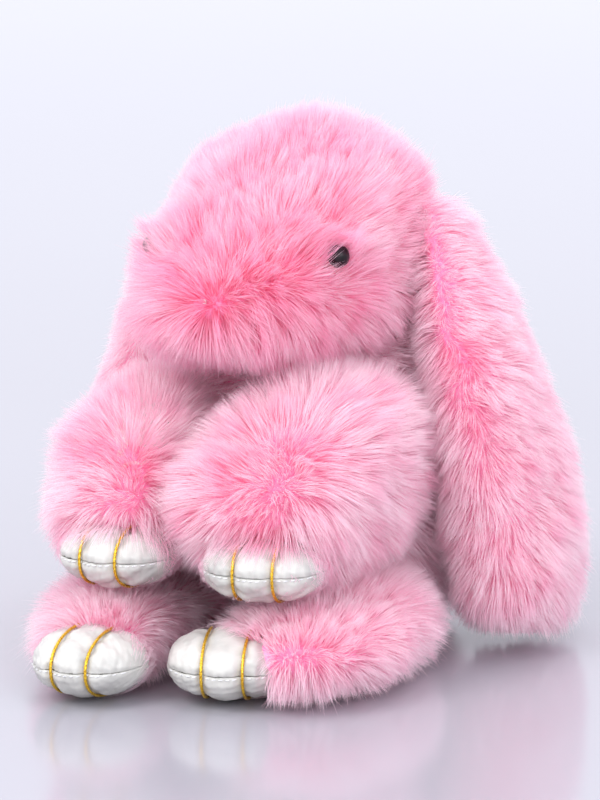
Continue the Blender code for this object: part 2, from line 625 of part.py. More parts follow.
cut(eye_outer, stem_obj, op="UNION")
cut(eye_outer, loop_bore)
applied(eye_outer)
eye_outer.data.transform(Matrix.Translation(-NAPE))
eye_outer.location = NAPE
cylinder("loop_anchor", Vector((0, 35.6, 102)) * MM, Y, 5.6 * MM, 1.6 * MM, 24, PLASTIC, PARTS)

# jump ring through the tape's eye
jump_axis = Vector((0, HW_Y - 1.2 * MM, EYE_Z - 1.55 * MM))
JUMP_C = jump_axis - Z * JUMP_R
jump = add("jump_ring", ring_mesh("jump_ring", JUMP_C, Y, JUMP_R, JUMP_WIRE, 24, 6), METAL, origin=jump_axis)

# swivel eye, in the YZ plane, hanging on the jump ring's bottom wire
swivel_top = JUMP_C - Z * (JUMP_R - 0.0 * MM)
SWIVEL_C = swivel_top - Z * (SWIVEL_R - SWIVEL_WIRE - JUMP_WIRE - 0.25 * MM)
swivel = add("swivel_eye", ring_mesh("swivel_eye", SWIVEL_C, X, SWIVEL_R, SWIVEL_WIRE, 20, 6), METAL)
POST_TOP = SWIVEL_C - Z * SWIVEL_R
post = cylinder("swivel_post", POST_TOP - Z * 2.6 * MM, Z, 0.95 * MM, 5.6 * MM, 10)
post_head = cylinder("swivel_head", POST_TOP - Z * 5.2 * MM, Z, 1.55 * MM, 1.0 * MM, 12)
cut(swivel, post, post_head, op="UNION")
applied(swivel)
swivel.data.transform(Matrix.Translation(-swivel_top))
swivel.location = swivel_top

# lobster clasp: barrel round the swivel post, with a hook below it
BARREL_TOP = POST_TOP.z - 1.5 * MM
BARREL_LOW = BARREL_TOP - 6.2 * MM
HY = POST_TOP.y
profile = [(0.0, BARREL_TOP), (1.9, BARREL_TOP), (2.5, BARREL_TOP - 0.5 * MM), (2.7, BARREL_TOP - 2 * MM),
           (2.6, BARREL_TOP - 4.4 * MM), (2.2, BARREL_LOW), (0.0, BARREL_LOW)]
bm = bmesh.new()
last = None
verts = [bm.verts.new((r * MM, 0, z)) for r, z in profile]
for a, b in zip(verts, verts[1:]):
    bm.edges.new((a, b))
mesh = bpy.data.meshes.new("clasp_barrel")
bm.to_mesh(mesh)
bm.free()
barrel = bpy.data.objects.new("clasp_barrel", mesh)
CUTTERS.objects.link(barrel)
barrel.hide_render = True
barrel.display_type = "WIRE"
barrel.location = (0, HY, 0)
screw = barrel.modifiers.new("turn", "SCREW")
screw.steps = screw.render_steps = 14
screw.use_merge_vertices = True
screw.merge_threshold = 0.00001
HOOK_R = 1.5 * MM
HOOK_TOP = BARREL_LOW + 1.0 * MM
hook_points = [(0.0, 0.0), (-1.4, -2.6), (-4.2, -6.4), (-5.6, -11.0), (-5.2, -15.6), (-2.6, -19.4), (1.2, -20.2),
               (4.2, -18.0), (5.2, -14.6)]
rows = smooth_stations(hook_points, 14)
curve = bpy.data.curves.new("hook", "CURVE")
curve.dimensions = "3D"
curve.bevel_depth = HOOK_R
curve.bevel_resolution = 1
curve.use_fill_caps = True
spline = curve.splines.new("POLY")
spline.points.add(len(rows) - 1)
for point, (dy, dz) in zip(spline.points, rows):
    point.co = (0, HY + dy * MM, HOOK_TOP + dz * MM, 1)
clasp = wire_mesh("clasp_body", curve, METAL)
cut(clasp, barrel, op="UNION")
# two ears that hold the gate's pin
PIN = Vector((0, HY + 2.4 * MM, HOOK_TOP - 3.4 * MM))
ears = []
for side in (1, -1):
    ears.append(cylinder("clasp_ear_%d" % side, (side * 2.0 * MM, PIN.y, PIN.z), X, 1.5 * MM, 0.8 * MM, 12))
    ears.append(box("clasp_web_%d" % side, (min(side * 1.6, side * 2.4) * MM, HY - 2.0 * MM, PIN.z - 0.6 * MM),
                    (max(side * 1.6, side * 2.4) * MM, PIN.y, HOOK_TOP + 1.6 * MM)))
cut(clasp, *ears, op="UNION")
gate_room = cylinder("gate_room", PIN, X, 1.75 * MM, 3.2 * MM, 12)
pin_bore = cylinder("pin_bore", PIN, X, 0.6 * MM, 8 * MM, 10)
post_bore = cylinder("post_bore", (0, HY, BARREL_TOP), Z, 1.25 * MM, 9 * MM, 12)
head_bore = cylinder("head_bore", (0, HY, POST_TOP.z - 5.2 * MM), Z, 1.85 * MM, 1.7 * MM, 12)
cut(clasp, gate_room, pin_bore, post_bore, head_bore)
applied(clasp)
clasp.data.transform(Matrix.Translation(-POST_TOP))
clasp.location = POST_TOP

# gate: a knuckle on the pin and a lever down to the hook's tip, with a thumb stub
gate = cylinder("clasp_gate", PIN + X * -0.75 * MM, X, 1.4 * MM, 1.2 * MM, 12, METAL, PARTS)
tip = Vector((0, HY + 5.2 * MM, HOOK_TOP - 14.6 * MM))
lever_rows = [(0.9, 0.6, 0.9), (2.6, 0.9, 1.1), (3.0, -3.0, 1.05), (2.95, -7.0, 1.0), (2.85, -10.3, 0.95)]
bm = bmesh.new()
sections = []
for dy, dz, half in smooth_stations(lever_rows, 6):
    p = Vector((0, PIN.y + dy * MM, PIN.z + dz * MM))
    sections.append(p)
rings = []
for i, p in enumerate(sections):
    q = (sections[min(i + 1, len(sections) - 1)] - sections[max(i - 1, 0)]).normalized()
    n = X.cross(q)
    rings.append([bm.verts.new(p + X * (1.3 * MM * math.cos(a)) + n * (0.85 * MM * math.sin(a)))
                  for a in [2 * math.pi * k / 8 for k in range(8)]])
for one, two in zip(rings, rings[1:]):
    for k in range(8):
        bm.faces.new((one[k], one[(k + 1) % 8], two[(k + 1) % 8], two[k]))
bm.faces.new(rings[0][::-1])
bm.faces.new(rings[-1])
lever = add("gate_lever", finish_mesh("gate_lever", bm), None, to=CUTTERS)
thumb = cylinder("gate_thumb", PIN + Vector((0, 3.4, -3.0)) * MM, Y, 0.9 * MM, 2.6 * MM, 14)
cut(gate, lever, thumb, op="UNION")
gate_bore = cylinder("gate_bore", PIN, X, 0.62 * MM, 8 * MM, 10)
spring_room = cylinder("spring_room", PIN + X * 0.75 * MM, X, 1.62 * MM, 1.56 * MM, 12)
cut(gate, gate_bore, spring_room)
applied(gate)
gate.data.transform(Matrix.Translation(-PIN))
gate.location = PIN
pin = cylinder("gate_pin", PIN, X, 0.48 * MM, 5.4 * MM, 10, METAL, PARTS)

# the torsion spring, coiled round the pin beside the knuckle
curve = bpy.data.curves.new("spring", "CURVE")
curve.dimensions = "3D"
curve.bevel_depth = 0.14 * MM
curve.bevel_resolution = 0
curve.use_fill_caps = True
spline = curve.splines.new("POLY")
turns, per = 3, 10
spline.points.add(turns * per)
for i in range(turns * per + 1):
    a = 2 * math.pi * i / per
    spline.points[i].co = (0.2 * MM + 1.1 * MM * i / (turns * per), PIN.y + 0.95 * MM * math.cos(a), PIN.z + 0.95 * MM * math.sin(a), 1)
wire_mesh("gate_spring", curve, STEEL)

# split ring in the hook: two turns of flat wire, drawn as one closed ring
HOOK_INSIDE = Vector((0, HY + 0.4 * MM, HOOK_TOP - 20.2 * MM + HOOK_R))
RING_C = HOOK_INSIDE + Z * (RING_WIRE * 1.0 + 0.35 * MM) - Z * RING_R
ring_axis = HOOK_INSIDE + Z * (RING_WIRE + 0.35 * MM)
add("split_ring", ring_mesh("split_ring", RING_C, Y, RING_R, RING_WIRE, 32, 6, 1.5), METAL, origin=ring_axis)

for name, at in (("PIN", PIN), ("POST_TOP", POST_TOP), ("swivel_top", swivel_top), ("jump_axis", jump_axis),
                 ("ring_axis", ring_axis), ("RING_C", RING_C), ("JUMP_C", JUMP_C)):
    print(name, [round(1000 * c, 3) for c in at])
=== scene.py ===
import bpy
import bmesh
import math
import numpy as np
from mathutils import Vector, Matrix
from mathutils.bvhtree import BVHTree


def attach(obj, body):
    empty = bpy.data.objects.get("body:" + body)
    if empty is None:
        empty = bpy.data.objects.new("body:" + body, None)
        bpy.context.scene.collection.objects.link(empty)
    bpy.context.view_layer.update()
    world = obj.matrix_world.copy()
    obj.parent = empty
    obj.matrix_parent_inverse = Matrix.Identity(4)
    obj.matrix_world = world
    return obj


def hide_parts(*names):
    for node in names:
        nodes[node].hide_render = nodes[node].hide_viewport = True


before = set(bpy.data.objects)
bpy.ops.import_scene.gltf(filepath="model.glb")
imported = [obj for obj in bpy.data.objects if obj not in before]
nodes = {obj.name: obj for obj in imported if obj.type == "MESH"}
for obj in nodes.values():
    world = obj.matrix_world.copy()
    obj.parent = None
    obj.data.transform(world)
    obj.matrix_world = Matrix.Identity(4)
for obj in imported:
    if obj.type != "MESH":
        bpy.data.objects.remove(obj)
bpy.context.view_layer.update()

MM = 0.001
scene = bpy.context.scene
X, Y, Z = Vector((1, 0, 0)), Vector((0, 1, 0)), Vector((0, 0, 1))

# ---------------------------------------------------------------- camera
azimuth, elevation, distance = math.radians(22.0), math.radians(10.0), 0.90
aim = Vector((4.1, 1.6, 56.3)) * MM
back = Vector((math.sin(azimuth) * math.cos(elevation), -math.cos(azimuth) * math.cos(elevation), math.sin(elevation)))
lens = bpy.data.cameras.new("camera")
camera = bpy.data.objects.new("camera", lens)
scene.collection.objects.link(camera)
camera.location = aim + back * distance
camera.rotation_euler = (-back).to_track_quat("-Z", "Y").to_euler()
lens.sensor_width = 36.0
lens.lens = 173.1
lens.clip_start, lens.clip_end = 0.01, 60.0
lens.dof.use_dof = False
scene.camera = camera
scene.view_settings.view_transform = "Standard"
scene.view_settings.look = "None"

# ---------------------------------------------------------------- helpers


def lin(r, g, b):
    """A linear colour from 0..255 display values."""
    return tuple(((c / 255) / 12.92 if c / 255 <= 0.04045 else ((c / 255 + 0.055) / 1.055) ** 2.4) for c in (r, g, b))


def link(obj):
    scene.collection.objects.link(obj)
    return obj


def unit(v):
    return v / np.maximum(np.linalg.norm(v, axis=-1, keepdims=True), 1e-9)


def waves(seed, size, count=12):
    """A smooth pseudo-random vector field; size is its rough wavelength in mm."""
    r = np.random.default_rng(seed)
    k = unit(r.normal(size=(count, 3))) * (2 * math.pi / (size * r.uniform(0.6, 1.6, (count, 1))))
    phase = r.uniform(0, 2 * math.pi, count)
    amount = r.normal(size=(count, 3)) * math.sqrt(2.0 / count)
    return lambda p: np.sin(p @ k.T + phase) @ amount


def mesh_object(name, verts, faces, smooth=True):
    me = bpy.data.meshes.new(name)
    me.from_pydata([tuple(v) for v in verts], [], faces)
    me.validate()
    if smooth:
        me.shade_smooth()
    return link(bpy.data.objects.new(name, me))


def evaluated(obj):
    graph = bpy.context.evaluated_depsgraph_get()
    graph.update()
    return bpy.data.meshes.new_from_object(obj.evaluated_get(graph))


def bake(obj):
    """Applies the object's modifiers to its mesh."""
    me = evaluated(obj)
    obj.modifiers.clear()
    obj.data = me
    me.name = obj.name
    return obj


def smooth_rows(rows, count):
    out = []
    last = len(rows) - 1
    for i in range(count + 1):
        t = last * i / count
        k = min(int(t), last - 1)
        f = t - k
        quad = (rows[max(k - 1, 0)], rows[k], rows[k + 1], rows[min(k + 2, last)])
        out.append([0.5 * (2 * b + (c - a) * f + (2 * a - 5 * b + 4 * c - d) * f * f + (3 * b - a - 3 * c + d) * f ** 3)
                    for a, b, c, d in zip(*quad)])
    return out


def loft(name, stations, sides, square=2.2, floor=None, sag=0.0):
    """A closed form through oval sections (centre, u, v, ru, rv) in mm; zero radius is a point."""
    verts, rings, faces = [], [], []
    for c, u, v, ru, rv in stations:
        if ru <= 0:
            rings.append([len(verts)])
            verts.append(Vector(c))
            continue
        ring = []
        for k in range(sides):
            a = 2 * math.pi * k / sides
            p = 2.0 / square
            cu = math.copysign(abs(math.cos(a)) ** p, math.cos(a))
            cv = math.copysign(abs(math.sin(a)) ** p, math.sin(a))
            cu *= 1 + sag * max(0.0, -cv)
            ring.append(len(verts))
            verts.append(Vector(c) + Vector(u) * (ru * cu) + Vector(v) * (rv * cv))
        rings.append(ring)
    for one, two in zip(rings, rings[1:]):
        if len(one) == 1 and len(two) == 1:
            continue
        if len(one) == 1 or len(two) == 1:
            tip, ring = (one[0], two) if len(one) == 1 else (two[0], one)
            for k in range(sides):
                faces.append((tip, ring[k], ring[(k + 1) % sides]))
            continue
        for k in range(sides):
            j = (k + 1) % sides
            faces.append((one[k], one[j], two[j], two[k]))
    if floor is not None:
        for v in verts:
            v.z = max(v.z, floor)
    obj = mesh_object(name, [v * MM for v in verts], faces)
    bm = bmesh.new()
    bm.from_mesh(obj.data)
    bmesh.ops.recalc_face_normals(bm, faces=bm.faces)
    bm.to_mesh(obj.data)
    bm.free()
    return obj


# ---------------------------------------------------------------- materials
def new_material(name, rough=0.5, metallic=0.0, spec=0.5):
    mat = bpy.data.materials.new(name)
    mat.use_nodes = True
    tree = mat.node_tree
    shader = tree.nodes["Principled BSDF"]
    shader.inputs["Roughness"].default_value = rough
    shader.inputs["Metallic"].default_value = metallic
    shader.inputs["Specular IOR Level"].default_value = spec
    return mat, tree, shader


def noise_node(tree, scale, detail=4.0, rough=0.6, vector=None):
    n = tree.nodes.new("ShaderNodeTexNoise")
    n.inputs["Scale"].default_value = scale
    n.inputs["Detail"].default_value = detail
    n.inputs["Roughness"].default_value = rough
    if vector is not None:
        tree.links.new(vector, n.inputs["Vector"])
    return n


def position(tree):
    return tree.nodes.new("ShaderNodeTexCoord").outputs["Object"]


def ramp(tree, source, stops, interpolation="LINEAR"):
    r = tree.nodes.new("ShaderNodeValToRGB")
    r.color_ramp.interpolation = interpolation
    while len(r.color_ramp.elements) < len(stops):
        r.color_ramp.elements.new(0.5)
    for e, (at, colour) in zip(r.color_ramp.elements, stops):
        e.position = at
        e.color = (*colour, 1.0)
    tree.links.new(source, r.inputs["Fac"])
    return r


def bump(tree, shader, source, strength, depth):
    b = tree.nodes.new("ShaderNodeBump")
    b.inputs["Strength"].default_value = strength
    b.inputs["Distance"].default_value = depth
    tree.links.new(source, b.inputs["Height"])
    tree.links.new(b.outputs["Normal"], shader.inputs["Normal"])
    return b


def fur_material(name, root, mid, tip, root2, mid2, tip2):
    """Colour runs root to tip (second coordinate) and from a deep to a pale shade (first one). The darker roots are
    partly the dye and partly painted shade deep in the pile, and the paler tips are partly a painted highlight; the
    first coordinate also carries each part's painted light and shade.
    """
    mat, tree, shader = new_material(name, 0.62, 0.0, 0.25)
    shader.inputs["Sheen Weight"].default_value = 0.18
    shader.inputs["Sheen Roughness"].default_value = 0.45
    shader.inputs["Sheen Tint"].default_value = (*lin(255, 215, 228), 1.0)
    uv = tree.nodes.new("ShaderNodeUVMap")
    uv.uv_map = "OFBake"
    part = tree.nodes.new("ShaderNodeSeparateXYZ")
    tree.links.new(uv.outputs["UV"], part.inputs["Vector"])
    deep = ramp(tree, part.outputs["Y"], [(0.0, lin(*root)), (0.45, lin(*mid)), (1.0, lin(*tip))])
    pale = ramp(tree, part.outputs["Y"], [(0.0, lin(*root2)), (0.45, lin(*mid2)), (1.0, lin(*tip2))])
    mix = tree.nodes.new("ShaderNodeMix")
    mix.data_type = "RGBA"
    tree.links.new(part.outputs["X"], mix.inputs["Factor"])
    tree.links.new(deep.outputs["Color"], mix.inputs[6])
    tree.links.new(pale.outputs["Color"], mix.inputs[7])
    tree.links.new(mix.outputs[2], shader.inputs["Base Color"])
    thin = tree.nodes.new("ShaderNodeBsdfTranslucent")
    tree.links.new(mix.outputs[2], thin.inputs["Color"])
    both = tree.nodes.new("ShaderNodeMixShader")
    both.inputs["Fac"].default_value = 0.5
    tree.links.new(shader.outputs["BSDF"], both.inputs[1])
    tree.links.new(thin.outputs["BSDF"], both.inputs[2])
    tree.links.new(both.outputs["Shader"], tree.nodes["Material Output"].inputs["Surface"])
    return mat


# pink fur from deep roots to pale tips: the darker roots stand partly for painted shade inside the pile, the pale tips
# partly for a painted highlight
FUR = fur_material("pink_fur", (252, 124, 168), (254, 173, 206), (255, 203, 226),
                   (255, 212, 229), (255, 233, 241), (255, 244, 248))


def pelt_material():
    mat, tree, shader = new_material("pink_pelt", 0.85, 0.0, 0.2)
    n = noise_node(tree, 900, 5, 0.7, position(tree))
    r = ramp(tree, n.outputs["Fac"], [(0.3, lin(246, 126, 172)), (0.5, lin(252, 158, 198)), (0.75, lin(255, 190, 218))])
    tree.links.new(r.outputs["Color"], shader.inputs["Base Color"])
    bump(tree, shader, n.outputs["Fac"], 0.6, 0.0006)
    return mat


PELT = pelt_material()


def wadding_material():
    mat, tree, shader = new_material("white_wadding", 0.95, 0.0, 0.15)
    n = noise_node(tree, 700, 6, 0.75, position(tree))
    r = ramp(tree, n.outputs["Fac"], [(0.3, lin(206, 205, 200)), (0.7, lin(250, 250, 247))])
    tree.links.new(r.outputs["Color"], shader.inputs["Base Color"])
    bump(tree, shader, n.outputs["Fac"], 0.8, 0.0008)
    return mat


WADDING = wadding_material()


def leather_material():
    mat, tree, shader = new_material("white_leather", 0.38, 0.0, 0.5)
    shader.inputs["Coat Weight"].default_value = 0.18
    shader.inputs["Coat Roughness"].default_value = 0.25
    at = position(tree)
    big = noise_node(tree, 130, 3, 0.55, at)
    r = ramp(tree, big.outputs["Fac"], [(0.25, lin(176, 176, 172)), (0.5, lin(197, 196, 190)), (0.8, lin(212, 211, 205))])
    tree.links.new(r.outputs["Color"], shader.inputs["Base Color"])
    grain = tree.nodes.new("ShaderNodeTexVoronoi")
    grain.feature = "DISTANCE_TO_EDGE"
    grain.inputs["Scale"].default_value = 1900
    tree.links.new(at, grain.inputs["Vector"])
    fine = noise_node(tree, 2600, 3, 0.6, at)
    total = tree.nodes.new("ShaderNodeMath")
    total.operation = "MULTIPLY_ADD"
    tree.links.new(fine.outputs["Fac"], total.inputs[0])
    total.inputs[1].default_value = 0.35
    tree.links.new(grain.outputs["Distance"], total.inputs[2])
    bump(tree, shader, total.outputs[0], 0.35, 0.00012)
    rough = ramp(tree, fine.outputs["Fac"], [(0.3, (0.32,) * 3), (0.7, (0.5,) * 3)])
    tree.links.new(rough.outputs["Color"], shader.inputs["Roughness"])
    return mat


LEATHER = leather_material()


def thread_material(name, low, high, metallic=0.0, rough=0.6):
    mat, tree, shader = new_material(name, rough, metallic)
    n = noise_node(tree, 3000, 3, 0.6, position(tree))
    r = ramp(tree, n.outputs["Fac"], [(0.35, lin(*low)), (0.65, lin(*high))])
    tree.links.new(r.outputs["Color"], shader.inputs["Base Color"])
    bump(tree, shader, n.outputs["Fac"], 0.3, 0.0001)
    return mat


THREAD = thread_material("white_thread", (196, 198, 200), (240, 240, 238))
GOLD = thread_material("gold_cord", (176, 122, 8), (252, 214, 70), 0.75, 0.30)
TAPE_MAT = thread_material("pink_tape", (214, 88, 130), (240, 130, 168), 0.0, 0.7)


def metal_material(name, low, high, rough):
    mat, tree, shader = new_material(name, rough, 1.0)
    at = position(tree)
    n = noise_node(tree, 260, 4, 0.6, at)
    r = ramp(tree, n.outputs["Fac"], [(0.3, lin(*low)), (0.7, lin(*high))])
    tree.links.new(r.outputs["Color"], shader.inputs["Base Color"])
    fine = noise_node(tree, 4200, 2, 0.5, at)
    rr = ramp(tree, n.outputs["Fac"], [(0.3, (rough * 1.4,) * 3), (0.7, (rough * 0.8,) * 3)])
    tree.links.new(rr.outputs["Color"], shader.inputs["Roughness"])
    bump(tree, shader, fine.outputs["Fac"], 0.08, 0.00005)
    return mat


METAL = metal_material("gold_metal", (196, 152, 84), (232, 196, 130), 0.22)
STEEL = metal_material("spring_steel", (150, 150, 154), (196, 197, 200), 0.28)


def plastic_material():
    mat, tree, shader = new_material("white_plastic", 0.45)
    n = noise_node(tree, 500, 4, 0.6, position(tree))
    r = ramp(tree, n.outputs["Fac"], [(0.3, lin(214, 214, 208)), (0.7, lin(236, 236, 230))])
    tree.links.new(r.outputs["Color"], shader.inputs["Base Color"])
    bump(tree, shader, n.outputs["Fac"], 0.15, 0.0001)
    return mat


PLASTIC = plastic_material()


def eye_material():
    mat, tree, shader = new_material("dark_eye", 0.30, 0.0, 0.3)
    shader.inputs["Coat Weight"].default_value = 0.08
    shader.inputs["Coat Roughness"].default_value = 0.04
    n = noise_node(tree, 420, 3, 0.6, position(tree))
    r = ramp(tree, n.outputs["Fac"], [(0.35, lin(14, 6, 12)), (0.65, lin(44, 20, 32))])
    tree.links.new(r.outputs["Color"], shader.inputs["Base Color"])
    return mat


EYE = eye_material()

# ---------------------------------------------------------------- the rabbit's forms, in mm, as in the design
EAR_ROOT = Vector((29.6, 25, 105.5))
EAR_LEAN = {1: 3.2, -1: -1.6}
# how far the pile stands: the design's forms with long soft hair on them, fuller where pieces meet
HEAD_PILE = [(-52, 84.0, 9.0, 8.5), (-46, 84.5, 16.0, 12.3), (-36, 85.5, 23.0, 17.0), (-20, 87.5, 28.5, 22.6), (-2, 91.0, 31.5, 27.0),
             (16, 94.2, 32.5, 29.2), (28, 96.8, 30.5, 26.2), (38, 99.5, 22.0, 18.6), (43, 100.5, 12.0, 9.5)]
EAR_PILE = {1: [(103.0, 26.2, 24, 6.4, 11.0), (96.5, 29.6, 22.5, 7.8, 16.0), (88, 33.0, 20.4, 9.4, 20.0), (75, 37.8, 17.0, 11.6, 23.0),
                (55, 43.4, 14.8, 14.6, 25.5), (32, 47.8, 13.8, 16.0, 27.0), (15, 49.4, 14.0, 15.6, 25.2), (6.5, 49.8, 14.4, 13.0, 20.0)],
            -1: [(103.0, 28.4, 25, 7.0, 11.0), (96.5, 32.0, 24, 8.0, 14.5), (88, 34.6, 22.4, 9.0, 17.0), (75, 37.6, 19.4, 10.4, 19.5),
                 (55, 42.2, 16.8, 12.6, 22.0), (32, 46.6, 15.6, 14.4, 23.5), (15, 48.4, 15.4, 14.2, 22.0), (6.5, 49.0, 15.4, 11.6, 17.5)]}
ARM_PILE = {1: [(26.5, -4, 16.4, 22, 69), (24.5, -15, 19.0, 20, 71), (21.2, -26, 21.6, 17.0, 72), (16.8, -37, 23.8, 17.6, 70),
                (14.8, -47, 24.2, 19.2, 64.5), (14.5, -55, 22.0, 23, 58.5), (14.8, -61.0, 18.0, 28.5, 53)],
            -1: [(-26.5, -4, 14, 23, 67), (-24.6, -15, 17, 21, 68), (-23.4, -26, 19.6, 20.0, 67), (-22.4, -36, 21.6, 19.5, 64),
                 (-20, -44, 20.8, 19.5, 60), (-19.6, -51, 19.6, 20, 54), (-19.6, -57.0, 16.2, 25, 49.5)]}
LEG_PILE = {1: [(22, -6, 18, -2, 25), (26.5, -22, 22, -2.5, 26), (28.0, -39, 23.5, -2.5, 24.5), (23, -54, 24.0, -2, 23), (14.5, -61.0, 19.4, -1, 21.2)],
            -1: [(-20, -6, 16.5, -2, 22.6), (-21.8, -24, 18.4, -2.5, 24), (-22.6, -42, 19.8, -2.5, 23.6), (-18.8, -58, 17.0, -2, 23.4),
                 (-16.0, -69.0, 15.4, -1, 21.4)]}
BODY_PILE = [(0, 13, 36.0, 32.0), (8, 13.0, 39.6, 35.0), (22, 13.0, 41.0, 36.4), (38, 13.4, 41.0, 36.4), (52, 14.4, 39.6, 34.8),
             (64, 15.6, 36.6, 31.4), (76, 16, 33.2, 28.4), (84, 16, 27.0, 23.0), (88.0, 15.5, 18.0, 15.0)]
HAND_C = {1: Vector((18.0, -53.0, 28.8)), -1: Vector((-18.0, -51.0, 28.8))}
HAND_R = {1: Vector((13.8, 13.5, 7.6)), -1: Vector((13.4, 13.5, 7.6))}
HAND_TURN = {1: 8.0, -1: 2.0}
FOOT_C = {1: Vector((12.6, -60.0, 8.3)), -1: Vector((-16.6, -69.0, 8.3))}
FOOT_R = {1: Vector((14.0, 15.0, 7.9)), -1: Vector((12.8, 15.0, 7.7))}
FOOT_TURN = {1: 14.0, -1: 0.0}
EYE_C = Vector((24.3, -22.5, 94.6))
EYE_R = 4.0
EYE_OUT = Vector((0.86, -0.46, 0.22)).normalized()
CORD_AT = 0.325
TAIL_C = Vector((0, 56.4, 15.5))


def ear_stations(side, inset):
    rows = smooth_rows([(z, x, y, max(t - inset, 1.5), w - inset) for z, x, y, t, w in EAR_PILE[side]], 14)
    lean = Matrix.Rotation(-math.radians(EAR_LEAN[side]), 3, Y)
    pts = [EAR_ROOT + lean @ (Vector((r[1], r[2], r[0])) - EAR_ROOT) for r in rows]
    out = []
    for i, row in enumerate(rows):
        along = pts[min(i + 1, len(pts) - 1)] - pts[max(i - 1, 0)]
        across = Vector((along.z, 0, -along.x)).normalized()
        across = across if across.x > 0 else -across
        out.append((pts[i], across, Y, row[3], row[4]))
    first = out[0]
    start = (pts[1] - pts[0]).normalized()
    cap = [(pts[0] - start * (2.4 * math.sin(math.radians(a))), first[1], Y, first[3] * math.cos(math.radians(a)) if a < 90 else 0,
            first[4] * math.cos(math.radians(a)) if a < 90 else 0) for a in (90, 60, 30)]
    last = out[-1]
    end = [(last[0] + Vector((0, 0, -1)) * (max(4.6 - inset * 0.4, 1) * math.sin(math.radians(a))), X, Y,
            last[3] * math.cos(math.radians(a)) if a < 90 else 0, last[4] * math.cos(math.radians(a)) if a < 90 else 0)
           for a in (30, 60, 90)]
    return [(Vector((side * c.x, c.y, c.z)), Vector((u.x, u.y, side * u.z)), v, ru, rv) for c, u, v, ru, rv in cap + out + end]


def head_stations(inset):
    rows = smooth_rows(HEAD_PILE, 22)
    squeeze = 1.0 - inset / 46.0
    tall = rows[0][1] * 0 + 1
    out = [(Vector((0, -4 + (rows[0][0] - 2.2 + 4) * squeeze, rows[0][1])), X, Z, 0, 0)]
    for y, z, w, h in rows:
        out.append((Vector((0, -4 + (y + 4) * squeeze, z)), X, Z, max(w - inset, 1.2) * tall, max(h - inset, 1.2)))
    out.append((Vector((0, -4 + (rows[-1][0] + 1.8 + 4) * squeeze, rows[-1][1])), X, Z, 0, 0))
    return out


def limb_stations(rows, radius, inset, count=14):
    rows = smooth_rows(rows, count)
    pts = [Vector((r[0], r[1], 0)) for r in rows]
    out = []
    for i, (x, y, w, lo, hi) in enumerate(rows):
        along = (pts[min(i + 1, len(pts) - 1)] - pts[max(i - 1, 0)]).normalized()
        short = along * (inset * 0.35 * (i / (len(pts) - 1)) ** 2)
        out.append((pts[i] - short + Z * ((lo + hi) / 2), Vector((-along.y, along.x, 0)), Z, w - inset, (hi - lo) / 2 - inset))
    start = (pts[1] - pts[0]).normalized()
    side = Vector((-start.y, start.x, 0))
    lo, hi = rows[0][3], rows[0][4]
    middle = pts[0] + Z * ((lo + hi) / 2)
    round_r = (radius - inset) * 0.96
    cap = [(middle - start * round_r, side, Z, 0, 0)]
    for a in (70, 45, 20):
        k = math.radians(a)
        cap.append((middle - start * (round_r * math.sin(k)), side, Z, round_r * math.cos(k),
                    ((hi - lo) / 2 - inset) * (0.25 + 0.75 * math.cos(k))))
    last = out[-1]
    ahead = (pts[-1] - pts[-2]).normalized()
    end = [(last[0] + ahead * (3.0 * math.sin(math.radians(a))), last[1], last[2], last[3] * math.cos(math.radians(a)) if a < 90 else 0,
            last[4] * math.cos(math.radians(a)) if a < 90 else 0) for a in (35, 65, 90)]
    return cap + out + end


def body_stations(inset):
    rows = smooth_rows(BODY_PILE, 16)
    out = [(Vector((0, rows[0][1], inset)), X, Y, 0, 0)]
    for z, y, w, d in rows:
        out.append((Vector((0, y, inset + z * (88.0 - 2 * inset) / 88.0)), X, Y, w - inset, d - inset))
    out.append((Vector((0, rows[-1][1], 88.0 - inset)), X, Y, 0, 0))
    return out


# ---------------------------------------------------------------- padded skins under the pile, puffed by cloth simulation
INSET = {"head": 6.6, "body": 9.4, "ear": 5.6, "arm": 7.4, "leg": 6.4}
skins = {}
skins["head"] = loft("head_pelt", head_stations(INSET["head"]), 36, sag=0.28)
skins["body"] = loft("body_pelt", body_stations(INSET["body"]), 36, 2.9)
for s, word in ((1, "left"), (-1, "right")):
    skins[word + "_ear"] = loft(word + "_ear_pelt", ear_stations(s, INSET["ear"]), 28, floor=4.0)
    skins[word + "_arm"] = loft(word + "_arm_pelt", limb_stations(ARM_PILE[s], 14.0, INSET["arm"]), 30)
    skins[word + "_leg"] = loft(word + "_leg_pelt", limb_stations(LEG_PILE[s], 17.0, INSET["leg"]), 30, floor=3.8)
tail_rows = [(TAIL_C + Y * (-4.6 * math.cos(math.radians(a))), X, Z, 4.6 * math.sin(math.radians(a)), 4.6 * math.sin(math.radians(a)))
             for a in range(0, 181, 20)]
skins["tail"] = loft("tail_pelt", tail_rows, 20, 2.0)

# the design's outer surfaces, which the tips of the pile reach
hulls = {}
hulls["head"] = loft("head_hull", head_stations(0.0), 36, sag=0.28)
hulls["body"] = loft("body_hull", body_stations(0.0), 36, 2.9)
for s, word in ((1, "left"), (-1, "right")):
    hulls[word + "_ear"] = loft(word + "_ear_hull", ear_stations(s, 0.0), 28, floor=0.0)
    hulls[word + "_arm"] = loft(word + "_arm_hull", limb_stations(ARM_PILE[s], 14.0, 0.0), 30)
    hulls[word + "_leg"] = loft(word + "_leg_hull", limb_stations(LEG_PILE[s], 17.0, 0.0), 30, floor=0.0)
hulls["tail"] = loft("tail_hull", [(c + (c - TAIL_C) * 1.05, u, v, ru * 2.09, rv * 2.09) for c, u, v, ru, rv in tail_rows], 20, 2.0)
outer = {}
for key, hull in hulls.items():
    bm = bmesh.new()
    bm.from_mesh(hull.data)
    outer[key] = BVHTree.FromBMesh(bm)
    bm.free()
    bpy.data.objects.remove(hull, do_unlink=True)


